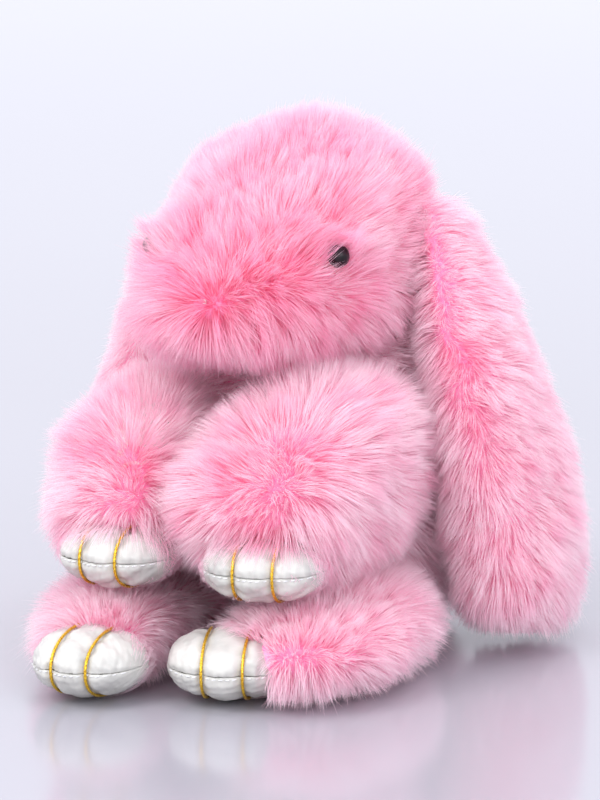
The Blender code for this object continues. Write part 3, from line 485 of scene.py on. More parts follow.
def depth_under(key, v, n):
    """How far each skin point (mm) lies under the outer surface, along its normal."""
    out = np.empty(len(v))
    for i, (p, d) in enumerate(zip(v * MM, n)):
        at = outer[key].ray_cast(Vector(p), Vector(d), 0.016)
        near = outer[key].find_nearest(Vector(p))[3] / MM
        out[i] = min(at[3] / MM, near * 1.35) if at[0] is not None else near
    return out


for key, skin in skins.items():
    m = skin.modifiers.new("voxels", "REMESH")
    m.mode = "VOXEL"
    m.voxel_size = (0.0022 if key == "tail" else 0.0030 if "ear" in key else 0.0034)
    m.use_smooth_shade = True
    m = skin.modifiers.new("soften", "SMOOTH")
    m.factor, m.iterations = 0.5, 3
    bake(skin)


def puff(objs, cap):
    """Each skin swells a little under inner pressure, as a stuffed cover does."""
    for obj in objs:
        m = obj.modifiers.new("stuffed", "CLOTH")
        st = m.settings
        st.quality = 4
        st.use_pressure = True
        st.uniform_pressure_force = 3.0 if "ear" in obj.name else 40.0
        st.effector_weights.gravity = 0.0
        st.mass = 0.3 if "ear" in obj.name else 0.1
        m.point_cache.frame_start, m.point_cache.frame_end = 1, 14
    for f in range(1, 15):
        scene.frame_set(f)
    graph = bpy.context.evaluated_depsgraph_get()
    moved = {}
    for obj in objs:
        me = obj.evaluated_get(graph).data
        after = np.empty(len(me.vertices) * 3, np.float32)
        me.vertices.foreach_get("co", after)
        moved[obj.name] = after
    for obj in objs:
        obj.modifiers.clear()
        before = np.empty(len(obj.data.vertices) * 3, np.float32)
        obj.data.vertices.foreach_get("co", before)
        step = moved[obj.name].reshape(-1, 3) - before.reshape(-1, 3)
        far = np.linalg.norm(step, axis=1, keepdims=True)
        print("puff", obj.name, round(float(far.max()) * 1000, 2), round(float(far.mean()) * 1000, 2))
        step *= np.minimum(1.0, cap / np.maximum(far, 1e-9))
        obj.data.vertices.foreach_set("co", (before.reshape(-1, 3) + step).ravel())
        obj.data.update()
    scene.frame_set(1)


puff([o for k, o in skins.items() if k != "tail"], 0.0012)

for key, skin in skins.items():
    m = skin.modifiers.new("soften", "SMOOTH")
    m.factor, m.iterations = 0.5, 3
    m = skin.modifiers.new("fine", "SUBSURF")
    m.levels = m.render_levels = 1
    bake(skin)
    skin.data.shade_smooth()

# the head's face: a mouth crease under two soft cheeks, and hollows that the eyes sit in


def reshape(obj, law):
    co = np.empty(len(obj.data.vertices) * 3, np.float32)
    obj.data.vertices.foreach_get("co", co)
    p = co.reshape(-1, 3).astype(float) / MM
    obj.data.vertices.foreach_set("co", (law(p) * MM).astype(np.float32).ravel())
    obj.data.update()


MOUTH = np.array([(3.0, -52, 80), (4.6, -47, 78), (6.5, -41, 75.5), (8.5, -33, 74)])


def line_distance(p, path):
    """Distance from each point to a polyline, and how far along it (0..1)."""
    best = np.full(len(p), 1e9)
    along = np.zeros(len(p))
    count = len(path) - 1
    for i in range(count):
        a, b = path[i], path[i + 1]
        t = np.clip(((p - a) @ (b - a)) / ((b - a) @ (b - a)), 0, 1)
        d = np.linalg.norm(p - (a + t[:, None] * (b - a)), axis=1)
        along = np.where(d < best, (i + t) / count, along)
        best = np.minimum(best, d)
    return best, along


def face_law(p):
    centre = np.array((0, -14, 94.0))
    out = unit(p - centre)
    d, _ = line_distance(p, MOUTH)
    p = p - out * (3.0 * np.exp(-(d / 4.2) ** 2))[:, None]
    for s in (1, -1):
        cheek = np.array((s * 13.0 + 2, -40, 80))
        d = np.linalg.norm(p - cheek, axis=1)
        p = p + out * (1.2 * np.exp(-(d / 9.0) ** 2))[:, None]
        eye = np.array((s * EYE_C.x, EYE_C.y, EYE_C.z))
        d = np.linalg.norm(p - eye, axis=1)
        p = p - out * (1.6 * np.exp(-(d / 6.0) ** 2))[:, None]
    return p


reshape(skins["head"], face_law)

for key, skin in skins.items():
    skin.data.materials.clear()
    skin.data.materials.append(PELT)

# ---------------------------------------------------------------- fur


def skin_arrays(obj):
    me = obj.data
    me.calc_loop_triangles()
    v = np.empty(len(me.vertices) * 3, np.float32)
    me.vertices.foreach_get("co", v)
    t = np.empty(len(me.loop_triangles) * 3, np.int32)
    me.loop_triangles.foreach_get("vertices", t)
    v = v.reshape(-1, 3).astype(float) / MM
    t = t.reshape(-1, 3)
    flat = np.cross(v[t[:, 1]] - v[t[:, 0]], v[t[:, 2]] - v[t[:, 0]])
    n = np.zeros_like(v)
    for k in range(3):
        np.add.at(n, t[:, k], flat)
    return v, t, unit(n), np.linalg.norm(flat, axis=1) / 2


def clumps(p, size, r):
    """Numbers each point by the nearest of a jittered grid's points."""
    cell = np.floor(p / size).astype(np.int64)
    best = np.full(len(p), 1e9)
    name = np.zeros(len(p), np.int64)
    for dx in (-1, 0, 1):
        for dy in (-1, 0, 1):
            for dz in (-1, 0, 1):
                c = cell + np.array((dx, dy, dz))
                h = (c[:, 0] * 73856093) ^ (c[:, 1] * 19349663) ^ (c[:, 2] * 83492791)
                h &= 0xFFFFFF
                j = np.stack([((h * m) & 0xFFFF) / 65535.0 for m in (7919, 104729, 15485863)], 1)
                d = np.linalg.norm(p - (c + j) * size, axis=1)
                closer = d < best
                best = np.where(closer, d, best)
                name = np.where(closer, h, name)
    _, number = np.unique(name, return_inverse=True)
    return number.reshape(-1)


def group_mean(values, group):
    count = np.bincount(group).astype(float)
    return np.stack([np.bincount(group, values[:, k]) / count for k in range(3)], 1)[group]


def strands(name, body, root, mid, tip, width, tone_and_painted_light, r):
    """One object of flat tapered hairs: a four-sided blade and a pointed end each."""
    n = len(root)
    roll = unit(r.normal(size=(n, 3)))
    across = unit(np.cross(tip - root, roll))
    half = (width / 2)[:, None] * across
    v = np.stack([root - half, root + half, mid + half * 0.8, mid - half * 0.8, tip], 1).reshape(-1, 3) * MM
    me = bpy.data.meshes.new(name)
    me.vertices.add(n * 5)
    me.vertices.foreach_set("co", v.astype(np.float32).ravel())
    base = (np.arange(n) * 5)[:, None]
    loops = np.concatenate([base + np.array((0, 1, 2, 3)), base + np.array((3, 2, 4))], 1)
    me.loops.add(n * 7)
    me.loops.foreach_set("vertex_index", loops.astype(np.int32).ravel())
    me.polygons.add(n * 2)
    starts = (np.arange(n) * 7)[:, None] + np.array((0, 4))
    me.polygons.foreach_set("loop_start", starts.astype(np.int32).ravel())
    me.polygons.foreach_set("use_smooth", np.ones(n * 2, bool))
    uv = me.uv_layers.new(name="OFBake")
    # the first UV coordinate is each strand's tone, which includes the painted light and shade of its part
    u = np.clip(tone_and_painted_light, 0.02, 0.98)[:, None]
    e = 0.006
    us = np.concatenate([u - e, u + e, u + e, u - e, u - e, u + e, u], 1)
    vs = np.tile(np.array((0.01, 0.01, 0.5, 0.5, 0.5, 0.5, 0.99)), (n, 1))
    uv.data.foreach_set("uv", np.stack([us, vs], 2).astype(np.float32).ravel())
    me.update(calc_edges=True)
    me.validate()
    me.materials.append(FUR)
    obj = link(bpy.data.objects.new(name, me))
    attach(obj, body)
    return obj


def fur(name, body, skin, density, height, flow, seed, width=0.14, clump=2.5, tuft=0.30, longest=16.0, tone_and_painted_light=None,
        keep=None, settle=None, split=None, wild=1.0, guard=0.05):
    r = np.random.default_rng(seed)
    v, t, vn, area = skin_arrays(skins[skin])
    n = int(area.sum() * density)
    pick = np.searchsorted(np.cumsum(area) / area.sum(), r.random(n))
    a, b = r.random((2, n))
    flip = a + b > 1
    a, b = np.where(flip, 1 - a, a), np.where(flip, 1 - b, b)
    w = np.stack([1 - a - b, a, b], 1)
    tri = t[np.clip(pick, 0, len(t) - 1)]
    p = np.einsum("nk,nkd->nd", w, v[tri])
    nn = unit(np.einsum("nk,nkd->nd", w, vn[tri]))
    deep = np.einsum("nk,nk->n", w, depth_under(skin, v, vn)[tri])
    lean = flow(p, nn)
    lean = lean + 0.24 * waves(seed + 50, 13)(p) * wild
    lean -= (lean * nn).sum(1, keepdims=True) * nn
    group = clumps(p, clump, r)
    count = group.max() + 1
    own = (r.normal(size=(count, 3)) * 0.12)[group] * wild
    each = r.normal(size=(n, 3)) * 0.13
    d0 = unit(nn + 0.35 * lean + 0.5 * own + 0.6 * each)
    d1 = unit(nn + 1.0 * lean + 1.2 * own + 1.2 * each)
    up = (deep + height(p, nn)) * (1 + 0.05 * r.normal(size=count))[group] * (1 - 0.22 * r.random(n) ** 2)
    rise = ((d0 + d1) / 2 * nn).sum(1)
    far = np.minimum(up / np.maximum(rise, 0.30), longest)
    is_guard = r.random(n) < guard
    far = np.where(is_guard, far * 1.12 + 0.5, far)
    mid = p + far[:, None] * (0.375 * d0 + 0.125 * d1)
    tip = p + far[:, None] * (0.5 * d0 + 0.5 * d1)
    pull = (tuft * r.uniform(0.45, 1.0, n) * np.where(is_guard, 0.3, 1.0))[:, None]
    mid = mid + 0.35 * pull * (group_mean(mid, group) - mid)
    tip = tip + pull * (group_mean(tip, group) - tip)
    # each strand's tone varies at random by place, clump and strand; the tone function passed in adds the painted light
    # and shade of each part
    shade = 0.78 + 0.13 * waves(seed + 90, 9)(p)[:, 0] + 0.10 * r.normal(size=count)[group] + 0.07 * r.normal(size=n)
    if tone_and_painted_light is not None:
        shade = shade + tone_and_painted_light(p, nn)
    ok = np.ones(n, bool)
    if keep is not None:
        ok = keep(p, mid, tip, nn)
    if settle is not None:
        mid = settle(mid, r)
        tip = settle(tip, r)
    thick = width * r.uniform(0.65, 1.3, n)
    made = []
    for word, part in (split or [("", lambda q: np.ones(len(q), bool))]):
        use = ok & part(p)
        print("fur", name + word, int(use.sum()))
        made.append(strands(name + word, body, p[use], mid[use], tip[use], thick[use], shade[use], r))
    return made


def on_floor(q, r):
    low = 0.25 + 0.9 * r.random(len(q)) ** 2
    q = q.copy()
    q[:, 2] = np.where(q[:, 2] < low, low, q[:, 2])
    return q


def paw_push(centre, radius, angle, back_y):
    """Keeps hairs out of a paw's leather: points inside it move out to its surface."""
    c, s = math.cos(angle), math.sin(angle)

    def law(q, r):
        d = q - np.array(centre)
        local = np.stack([c * d[:, 0] + s * d[:, 1], -s * d[:, 0] + c * d[:, 1], d[:, 2]], 1)
        k = local / np.array(radius)
        size = np.linalg.norm(k, axis=1)
        need = 1.05 + 0.05 * r.random(len(q))
        inside = (size < need) & (local[:, 1] < back_y)
        grow = np.where(inside, need / np.maximum(size, 0.2), 1.0)
        local = local * grow[:, None]
        world = np.stack([c * local[:, 0] - s * local[:, 1], s * local[:, 0] + c * local[:, 1], local[:, 2]], 1)
        return np.where(inside[:, None], world + np.array(centre), q)
    return law


def paw_clear(centre, radius, angle, front, above, left=-0.92):
    """Leaves out the hairs that would lie over the part of a paw that shows."""
    c, s = math.cos(angle), math.sin(angle)

    def law(p, mid, tip, n):
        ok = np.ones(len(p), bool)
        for q in (p, mid, tip):
            d = q - np.array(centre)
            local = np.stack([c * d[:, 0] + s * d[:, 1], -s * d[:, 0] + c * d[:, 1], d[:, 2]], 1)
            size = np.linalg.norm(local / np.array(radius), axis=1)
            ok &= ~((size < 1.24) & (local[:, 0] > radius[0] * left) & (local[:, 0] < radius[0] * 0.70) & (local[:, 1] < front) & (local[:, 2] < above))
        return ok
    return law


def both(*laws):
    def law(q, r):
        for one in laws:
            q = one(q, r)
        return q
    return law


down = np.array((0, 0, -1.0))

# head: combed from the snout back over the crown, down at the sides, end-on where it is fullest


def head_flow(p, n):
    toward_back = np.array((0, 1.0, 0.10))
    f = 0.55 * toward_back + 0.35 * down * np.clip((104 - p[:, 2:3]) / 22, 0, 1.2)
    front = np.clip((-26 - p[:, 1:2]) / 18, 0, 1)
    f = f * (1 - 0.75 * front) + front * 0.55 * down
    for side in (1, -1):
        c, out, right, up = eye_axes(side)
        d = p - c
        x, y = d @ right, d @ up
        far = np.hypot(x, y)[:, None]
        inward = -(x[:, None] * right + y[:, None] * up) / np.maximum(far, 0.5)
        near = np.exp(-((far - 4.2) / 2.6) ** 2) * (np.linalg.norm(d, axis=1)[:, None] < 14)
        f = f * (1 - near) + near * 0.5 * inward
    return f


def eye_axes(side):
    out = np.array((side * EYE_OUT.x, EYE_OUT.y, EYE_OUT.z))
    right = unit(np.cross(np.array((0, 0, 1.0)), out))
    return np.array((side * EYE_C.x, EYE_C.y, EYE_C.z)), out, right, np.cross(out, right)


def head_keep(p, mid, tip, n):
    """Leaves a three-cornered opening over each eye bead, and no hair growing out of the bead's middle."""
    ok = np.ones(len(p), bool)
    for side in (1, -1):
        c, out, right, up = eye_axes(side)
        look = unit(0.55 * out + 0.45 * np.array((side * 0.369, -0.913, 0.174)))
        across = unit(np.cross(np.array((0, 0, 1.0)), look))
        rise = np.cross(look, across)
        corners = np.array([(0.4, 2.7), (-2.9, -1.1), (2.1, -2.4)]) * (side, 1)
        if side < 0:
            corners = corners[::-1]
        for q in (p, 0.5 * (p + mid), mid, 0.67 * mid + 0.33 * tip, 0.33 * mid + 0.67 * tip, tip):
            d = q - c
            x, y, z = d @ across, d @ rise, d @ look
            inside = np.ones(len(p), bool)
            for k in range(3):
                (x0, y0), (x1, y1) = corners[k], corners[(k + 1) % 3]
                inside &= ((x1 - x0) * (y - y0) - (y1 - y0) * (x - x0)) > 0
            ok &= ~(inside & (z > -1.0))
        d = p - c
        ok &= ~((np.hypot(d @ right, d @ up) < 1.6) & (d @ out > -9))
    return ok


# painted shade on the head's fur: darker in the mouth crease, round the eyes' hollows, over the crown, on the front of
# the face and under the chin, and a little darker overall
def head_painted_shade(p, n):
    d, _ = line_distance(p, MOUTH)
    t = -0.75 * np.exp(-(d / 3.6) ** 2)
    for side in (1, -1):
        c = np.array((side * EYE_C.x, EYE_C.y, EYE_C.z))
        t = t - 0.42 * np.exp(-((np.linalg.norm(p - c, axis=1) - 2.0) / 5.0) ** 2)
    t = t - 0.18 - 0.14 * np.clip((p[:, 2] - 102) / 10, 0, 1) - 0.16 * np.clip((p[:, 1] + 4) / -20, 0, 1) * np.clip((106 - p[:, 2]) / 12, 0, 1)
    return t + 0.02 - 0.12 * np.clip((82 - p[:, 2]) / 9, 0, 1)


def eye_rise(p):
    """Longer pile round the eyes, which hides the beads' rims."""
    rise = 0.0
    for side in (1, -1):
        c = np.array((side * EYE_C.x, EYE_C.y, EYE_C.z))
        rise = rise + 3.8 * np.exp(-((np.linalg.norm(p - c, axis=1) - 6.5) / 3.2) ** 2)
    return rise


def head_height(p, n):
    d, _ = line_distance(p, MOUTH)
    return 0.3 + eye_rise(p) - 4.2 * np.exp(-(d / 3.4) ** 2) + 0.6 * waves(77, 20)(p)[:, 0]


fur("head_fur_", "head", "head", 8.6, head_height, head_flow, 11, keep=head_keep, tone_and_painted_light=head_painted_shade,
    split=[("left", lambda q: q[:, 0] >= 0), ("right", lambda q: q[:, 0] < 0)])


def body_flow(p, n):
    return 0.75 * down + 0.12 * np.array((0, 1.0, 0))


# the body's fur is painted paler all over: painted light that lifts the shade on its sides
fur("body_fur_", "body", "body", 5.4, lambda p, n: 0.2 + 0.5 * waves(78, 22)(p)[:, 0], body_flow, 12,
    settle=on_floor, tone_and_painted_light=lambda p, n: 0.17 + 0 * p[:, 2],
    split=[("left", lambda q: q[:, 0] >= 0), ("right", lambda q: q[:, 0] < 0)])

for s, word in ((1, "left"), (-1, "right")):
    def ear_flow(p, n, s=s):
        return 1.2 * down + 0.06 * unit(p - np.array((s * 47, 16, 50)))

    def ear_height(p, n, s=s):
        low = np.clip((24 - p[:, 2]) / 20, 0, 1)
        edge = np.clip(np.abs(n[:, 1]) - 0.6, 0, 1)
        return 0.2 + 0.8 * low + 0.5 * edge + 0.5 * waves(79, 16)(p)[:, 0]

    # the ears' fur is painted paler all over as painted light, and a little darker towards the bottom
    fur(word + "_ear_fur", word + "_ear", word + "_ear", 7.0, ear_height, ear_flow, 13 + s, longest=15.0, clump=2.9,
        settle=on_floor, tone_and_painted_light=lambda p, n: 0.13 - 0.06 * np.clip((40 - p[:, 2]) / 40, 0, 1))

    hand = paw_push(HAND_C[s], HAND_R[s], math.radians(HAND_TURN[s]) * s, 2.0)
    foot = paw_push(FOOT_C[s], FOOT_R[s], math.radians(FOOT_TURN[s]) * s, 2.5)

    def arm_flow(p, n, s=s):
        middle = np.array((24.0, -56, 58.7)) if s > 0 else np.array((-16.0, -50, 56.0))
        d = p - middle
        far = np.linalg.norm(d, axis=1, keepdims=True)
        return unit(d) * np.clip(far / 12, 0, 1) * 0.85 + 0.28 * down

    def arm_height(p, n, s=s):
        front = np.clip((-30 - p[:, 1]) / 20, 0, 1)
        outer = np.clip(n[:, 0] * s, 0, 1) * front
        return 0.2 + 0.5 * outer + 0.6 * waves(80 + s, 18)(p)[:, 0]

    # the arms' fur is painted darker towards the bottom: painted shade under the arms
    fur(word + "_arm_fur", word + "_arm", word + "_arm", 8.0, arm_height, arm_flow, 23 + s, clump=2.7,
        settle=both(hand, on_floor), keep=paw_clear(HAND_C[s], HAND_R[s], math.radians(HAND_TURN[s]) * s, -3.0, 0.6, -0.55 if s < 0 else -0.92), tone_and_painted_light=lambda p, n: -0.12 * np.clip((40 - p[:, 2]) / 16, 0, 1))

    def leg_flow(p, n, s=s):
        middle = np.array((s * 18.0, -24, 14))
        return 0.65 * unit(p - middle) + 0.30 * down

    def leg_height(p, n, s=s):
        side = np.clip(n[:, 0] * s, 0, 1)
        return 0.2 + 0.6 * side + 0.5 * waves(84 + s, 16)(p)[:, 0]

    # the legs' fur is painted paler as painted light that lifts the shade between arms and legs, and darker near the
    # floor as painted shade
    fur(word + "_leg_fur", word + "_leg", word + "_leg", 8.0, leg_height, leg_flow, 33 + s, clump=2.6,
        settle=both(foot, on_floor), keep=paw_clear(FOOT_C[s], FOOT_R[s], math.radians(FOOT_TURN[s]) * s, -2.0, 5.6), tone_and_painted_light=lambda p, n: 0.08 - 0.06 * np.clip((12 - p[:, 2]) / 12, 0, 1))

fur("tail_fur", "body", "tail", 34.0, lambda p, n: 0.4 + 0 * p[:, 0], lambda p, n: 0.55 * down + 0 * p, 45,
    settle=on_floor, tone_and_painted_light=lambda p, n: 0.14 + 0 * p[:, 2], tuft=0.15, wild=1.6)

# the pelts stand for the design's covers
ride_of = {"head": "head", "body": "body", "tail": "body"}
covers = {"head": ["head_cover"], "body": ["body_cover"], "tail": ["tail"], "left_ear": ["left_ear"], "right_ear": ["right_ear"]}
for key, skin in skins.items():
    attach(skin, ride_of.get(key, key))
    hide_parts(*covers.get(key, [key + "_cover"]))

# ---------------------------------------------------------------- wadding: the fillings, lumpy and soft
BODY_OF = {"head_stuffing": "head", "body_stuffing": "body"}
for word in ("left", "right"):
    for kind, end in (("arm", "hand"), ("leg", "foot")):
        BODY_OF[word + "_" + kind + "_stuffing"] = word + "_" + kind
        BODY_OF[word + "_" + end + "_filling"] = word + "_" + kind
for node, body in BODY_OF.items():
    source = nodes[node]
    me = source.data.copy()
    me.name = node + "_wadding"
    obj = link(bpy.data.objects.new(node + "_wadding", me))
    me.transform(source.matrix_world)
    m = obj.modifiers.new("voxels", "REMESH")
    m.mode = "VOXEL"
    m.voxel_size = 0.0011 if "filling" in node else 0.0022
    m.use_smooth_shade = True
    m = obj.modifiers.new("soften", "SMOOTH")
    m.factor, m.iterations = 0.5, 4
    bake(obj)
    field = waves(len(node) * 7 + 3, 7)
    co = np.empty(len(me.vertices) * 3, np.float32)
    me = obj.data
    co = np.empty(len(me.vertices) * 3, np.float32)
    me.vertices.foreach_get("co", co)
    no = np.empty(len(me.vertices) * 3, np.float32)
    me.vertices.foreach_get("normal", no)
    co, no = co.reshape(-1, 3).astype(float), no.reshape(-1, 3)
    lump = (0.15 if "filling" in node else 0.5) * MM * (np.abs(field(co / MM)[:, :1]))
    sink = (0.1 if "filling" in node else 1.6) * MM
    me.vertices.foreach_set("co", (co - no * (lump + sink)).astype(np.float32).ravel())
    me.update()
    me.materials.clear()
    me.materials.append(WADDING)
    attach(obj, body)
    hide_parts(node)

# ---------------------------------------------------------------- leather paws


def paw_point(centre, radius, turn, t, a, extra=0.0):
    """A point of the paw's skin: t runs across the toes (-1..1), a is the angle from the front, up."""
    k = math.sqrt(max(0.0, 1 - t * t)) ** 0.85
    d = min(abs(t - CORD_AT), abs(t + CORD_AT))
    k *= 1 - 0.10 * math.exp(-(d / 0.10) ** 2)
    p = 2 / 2.15
    c, s = math.cos(a), math.sin(a)
    y = -(k * radius.y + extra) * math.copysign(abs(c) ** p, c)
    z = (k * radius.z + extra) * math.copysign(abs(s) ** p, s)
    local = Vector((t * (radius.x + extra * 0.3), y, z))
    return centre + Matrix.Rotation(turn, 3, "Z") @ local


def leather(name, body, node, centre, radius, turn, up, floor, seed):
    r = np.random.default_rng(seed)
    wrinkle = waves(seed, 5.5)
    fine = waves(seed + 1, 1.9)
    across, round_ = ((96, 44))
    verts, faces, index = [], [], {}
    ts = [math.sin(math.pi / 2 * (-1 + 2 * i / across)) * 0.99995 for i in range(across + 1)]
    for i, t in enumerate(ts):
        k = max(math.sqrt(1 - t * t) ** 0.85, 0.02)
        past = math.asin(min(1.0, 1.45 / max(k * radius.y * 0.9, 1.46)))
        d = min(abs(t - CORD_AT), abs(t + CORD_AT))
        for j in range(round_ + 1):
            f = j / round_
            a = (0.006 + f * (math.pi / 2 + past - 0.006)) * (1 if up else -1)
            near_seam = math.exp(-(abs(a) / 0.075) ** 2)
            extra = -0.15 * near_seam + 0.16 * math.exp(-((abs(a) - 0.20) / 0.10) ** 2)
            # soft puckers along the seam and where the cords pull in
            pucker = math.exp(-(abs(a) / 0.42) ** 2) * math.sin(t * radius.x * 2.9 + 0.8 * math.sin(t * 9)) * 0.15
            pull = math.exp(-(d / 0.17) ** 2) * math.sin(a * 13 + 2.2 * math.sin(3 * t)) * 0.13
            q = paw_point(centre, radius, turn, t, a, 0.0)
            w = np.array(q)[None, :]
            extra += pucker + pull + 0.16 * float(wrinkle(w)[0, 0]) + 0.055 * float(fine(w)[0, 0])
            q = paw_point(centre, radius, turn, t, a, min(extra, 0.30) - 0.12)
            if floor is not None:
                q.z = max(q.z, floor + 0.03 * float(fine(w)[0, 1]))
            index[i, j] = len(verts)
            verts.append(q * MM)
    for i in range(across):
        for j in range(round_):
            quad = (index[i, j], index[i + 1, j], index[i + 1, j + 1], index[i, j + 1])
            faces.append(quad if up else quad[::-1])
    obj = mesh_object(name, verts, faces)
    bm = bmesh.new()
    bm.from_mesh(obj.data)
    bmesh.ops.recalc_face_normals(bm, faces=bm.faces)
    mid = Vector(centre) * MM
    top = max(bm.faces, key=lambda g: (g.calc_center_median() - mid).length)
    if top.normal.dot(top.calc_center_median() - mid) < 0:
        bmesh.ops.reverse_faces(bm, faces=bm.faces)
    bm.to_mesh(obj.data)
    bm.free()
    m = obj.modifiers.new("hide", "SOLIDIFY")
    m.thickness = 0.9 * MM
    m.offset = -1.0
    m.use_even_offset = False
    bake(obj)
    obj.data.shade_smooth()
    obj.data.materials.clear()
    obj.data.materials.append(LEATHER)
    if not up:
        obj.data.materials.append(THREAD)
        bm = bmesh.new()
        bm.from_mesh(obj.data)
        count = 17
        for i in range(count):
            t = -0.86 + 1.72 * i / (count - 1)
            a = paw_point(centre, radius, turn, t - 0.028, -0.062, 0.0)
            b = paw_point(centre, radius, turn, t + 0.028, -0.048, 0.0)
            if floor is not None and a.z < floor:
                continue
            along = (b - a)
            if along.length < 0.3:
                continue
            turn_to = Z.rotation_difference(along.normalized()).to_matrix().to_4x4()
            made = bmesh.ops.create_uvsphere(bm, u_segments=8, v_segments=6, radius=1.0)
            bmesh.ops.transform(bm, verts=made["verts"], matrix=Matrix.Translation((a + b) / 2 * MM) @ turn_to @
                                Matrix.Diagonal((0.17 * MM, 0.17 * MM, (along.length / 2 + 0.15) * MM, 1)))
            for v in made["verts"]:
                for g in v.link_faces:
                    g.material_index = 1
                    g.smooth = True
        bm.to_mesh(obj.data)
        bm.free()
    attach(obj, body)
    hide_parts(node)
    return obj


def tube_rings(path, section):
    """Sweeps section(i) = list of (u, v) offsets in mm along a path of mm points."""
    verts, faces = [], []
    n = len(path)
    last = None
    for i, p in enumerate(path):
        along = (path[min(i + 1, n - 1)] - path[max(i - 1, 0)]).normalized()
        u = (last - along * last.dot(along)).normalized() if last is not None else along.orthogonal().normalized()
        last = u
        v = along.cross(u)
        row = section(i)
        for a, b in row:
            verts.append((p + u * a + v * b) * MM)
        m = len(row)
        if i:
            for k in range(m):
                j = (k + 1) % m
                faces.append(((i - 1) * m + k, (i - 1) * m + j, i * m + j, i * m + k))
    m = len(section(0))
    faces.append(tuple(range(m))[::-1])
    faces.append(tuple((n - 1) * m + k for k in range(m)))
    return verts, faces


def gold_cord(name, body, node, centre, radius, turn, t, floor):
    """Two plies twisted together, over the toes from the top to underneath."""
    k = (math.sqrt(1 - t * t) ** 0.85) * 0.90
    ry, rz = k * radius.y + 0.56, k * radius.z + 0.56
    count = 150
    spread = math.radians(94)
    path = []
    for i in range(count):
        a = spread - 2 * spread * i / (count - 1)
        c, s = math.cos(a), math.sin(a)
        p = 2 / 2.15
        local = Vector((t * radius.x, -ry * math.copysign(abs(c) ** p, c), rz * math.copysign(abs(s) ** p, s)))
        q = centre + Matrix.Rotation(turn, 3, "Z") @ local
        if floor is not None:
            q.z = max(q.z, 0.47)
        path.append(q)
    length = [0.0]
    for a, b in zip(path, path[1:]):
        length.append(length[-1] + (b - a).length)

    def section(i):
        twist = 2 * math.pi * length[i] / 2.1
        row = []
        for k in range(14):
            a = 2 * math.pi * k / 14
            rr = 0.37 * (0.66 + 0.34 * abs(math.cos(a - twist)) ** 0.7)
            row.append((rr * math.cos(a), rr * math.sin(a)))
        return row

    verts, faces = tube_rings(path, section)
    obj = mesh_object(name, verts, faces)
    obj.data.materials.append(GOLD)
    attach(obj, body)
    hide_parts(node)
    return obj


for s, word in ((1, "left"), (-1, "right")):
    for kind, paw, centre, radius, turn, floor in (
            ("arm", "hand", HAND_C[s], HAND_R[s], HAND_TURN[s], None), ("leg", "foot", FOOT_C[s], FOOT_R[s], FOOT_TURN[s], 0.35)):
        angle = math.radians(turn) * s
        for up, half in ((True, "upper"), (False, "lower")):
            leather("%s_%s_%s_leather_skin" % (word, paw, half), word + "_" + kind, "%s_%s_%s_leather" % (word, paw, half),
                    centre, radius, angle, up, floor, 60 + 7 * s + (3 if paw == "hand" else 0) + up)
        outward = 1 if centre.x > 0 else -1
        for where, t in (("inner", -CORD_AT * outward), ("outer", CORD_AT * outward)):
            gold_cord("%s_%s_cord_%s_twist" % (word, paw, where), word + "_" + kind, "%s_%s_cord_%s" % (word, paw, where),
                      centre, radius, angle, t, floor)

# ---------------------------------------------------------------- eyes
for s, word in ((1, "left"), (-1, "right")):
    bm = bmesh.new()
    bmesh.ops.create_uvsphere(bm, u_segments=40, v_segments=24, radius=EYE_R)
    for v in bm.verts:
        if v.co.z < 0:
            v.co.z *= 0.55
        # a dome a little flatter than a ball, with a fine moulded rim where it meets the pelt
        r2 = v.co.x ** 2 + v.co.y ** 2
        v.co.z += 0.10 * math.exp(-((math.sqrt(r2) - 3.6) / 0.25) ** 2)
    out = Vector((s * EYE_OUT.x, EYE_OUT.y, EYE_OUT.z))
    stem = bmesh.ops.create_cone(bm, cap_ends=True, segments=20, radius1=1.0, radius2=1.1, depth=6.0)
    bmesh.ops.translate(bm, vec=(0, 0, -4.6), verts=stem["verts"])
    place = Matrix.Translation(Vector((s * EYE_C.x, EYE_C.y, EYE_C.z))) @ Z.rotation_difference(out).to_matrix().to_4x4()
    bmesh.ops.transform(bm, matrix=Matrix.Scale(MM, 4) @ place, verts=bm.verts)
    me = bpy.data.meshes.new(word + "_eye_bead")
    bm.to_mesh(me)
    bm.free()
    me.shade_smooth()
    me.materials.append(EYE)
    bead = link(bpy.data.objects.new(word + "_eye_bead", me))
    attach(bead, "head")
    c_eye, o_eye = Vector((s * EYE_C.x, EYE_C.y, EYE_C.z)) * MM, Vector((s * EYE_OUT.x, EYE_OUT.y, EYE_OUT.z))
    for vert in me.vertices:
        from_c = vert.co - c_eye
        if from_c.dot(o_eye) > -3.9 * MM:
            vert.co = c_eye + from_c * 0.68 - o_eye * (2.0 * MM)
    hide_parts(word + "_eye")

# ---------------------------------------------------------------- hanging hardware
HY = 60.8


def ring_path(centre, u, v, radius, count, start=0.0, sweep=360.0):
    return [centre + u * (radius * math.cos(math.radians(start + sweep * i / count))) +
            v * (radius * math.sin(math.radians(start + sweep * i / count))) for i in range(count + 1)]


def round_section(radius, sides=14):
    return lambda i: [(radius * math.cos(2 * math.pi * k / sides), radius * math.sin(2 * math.pi * k / sides)) for k in range(sides)]


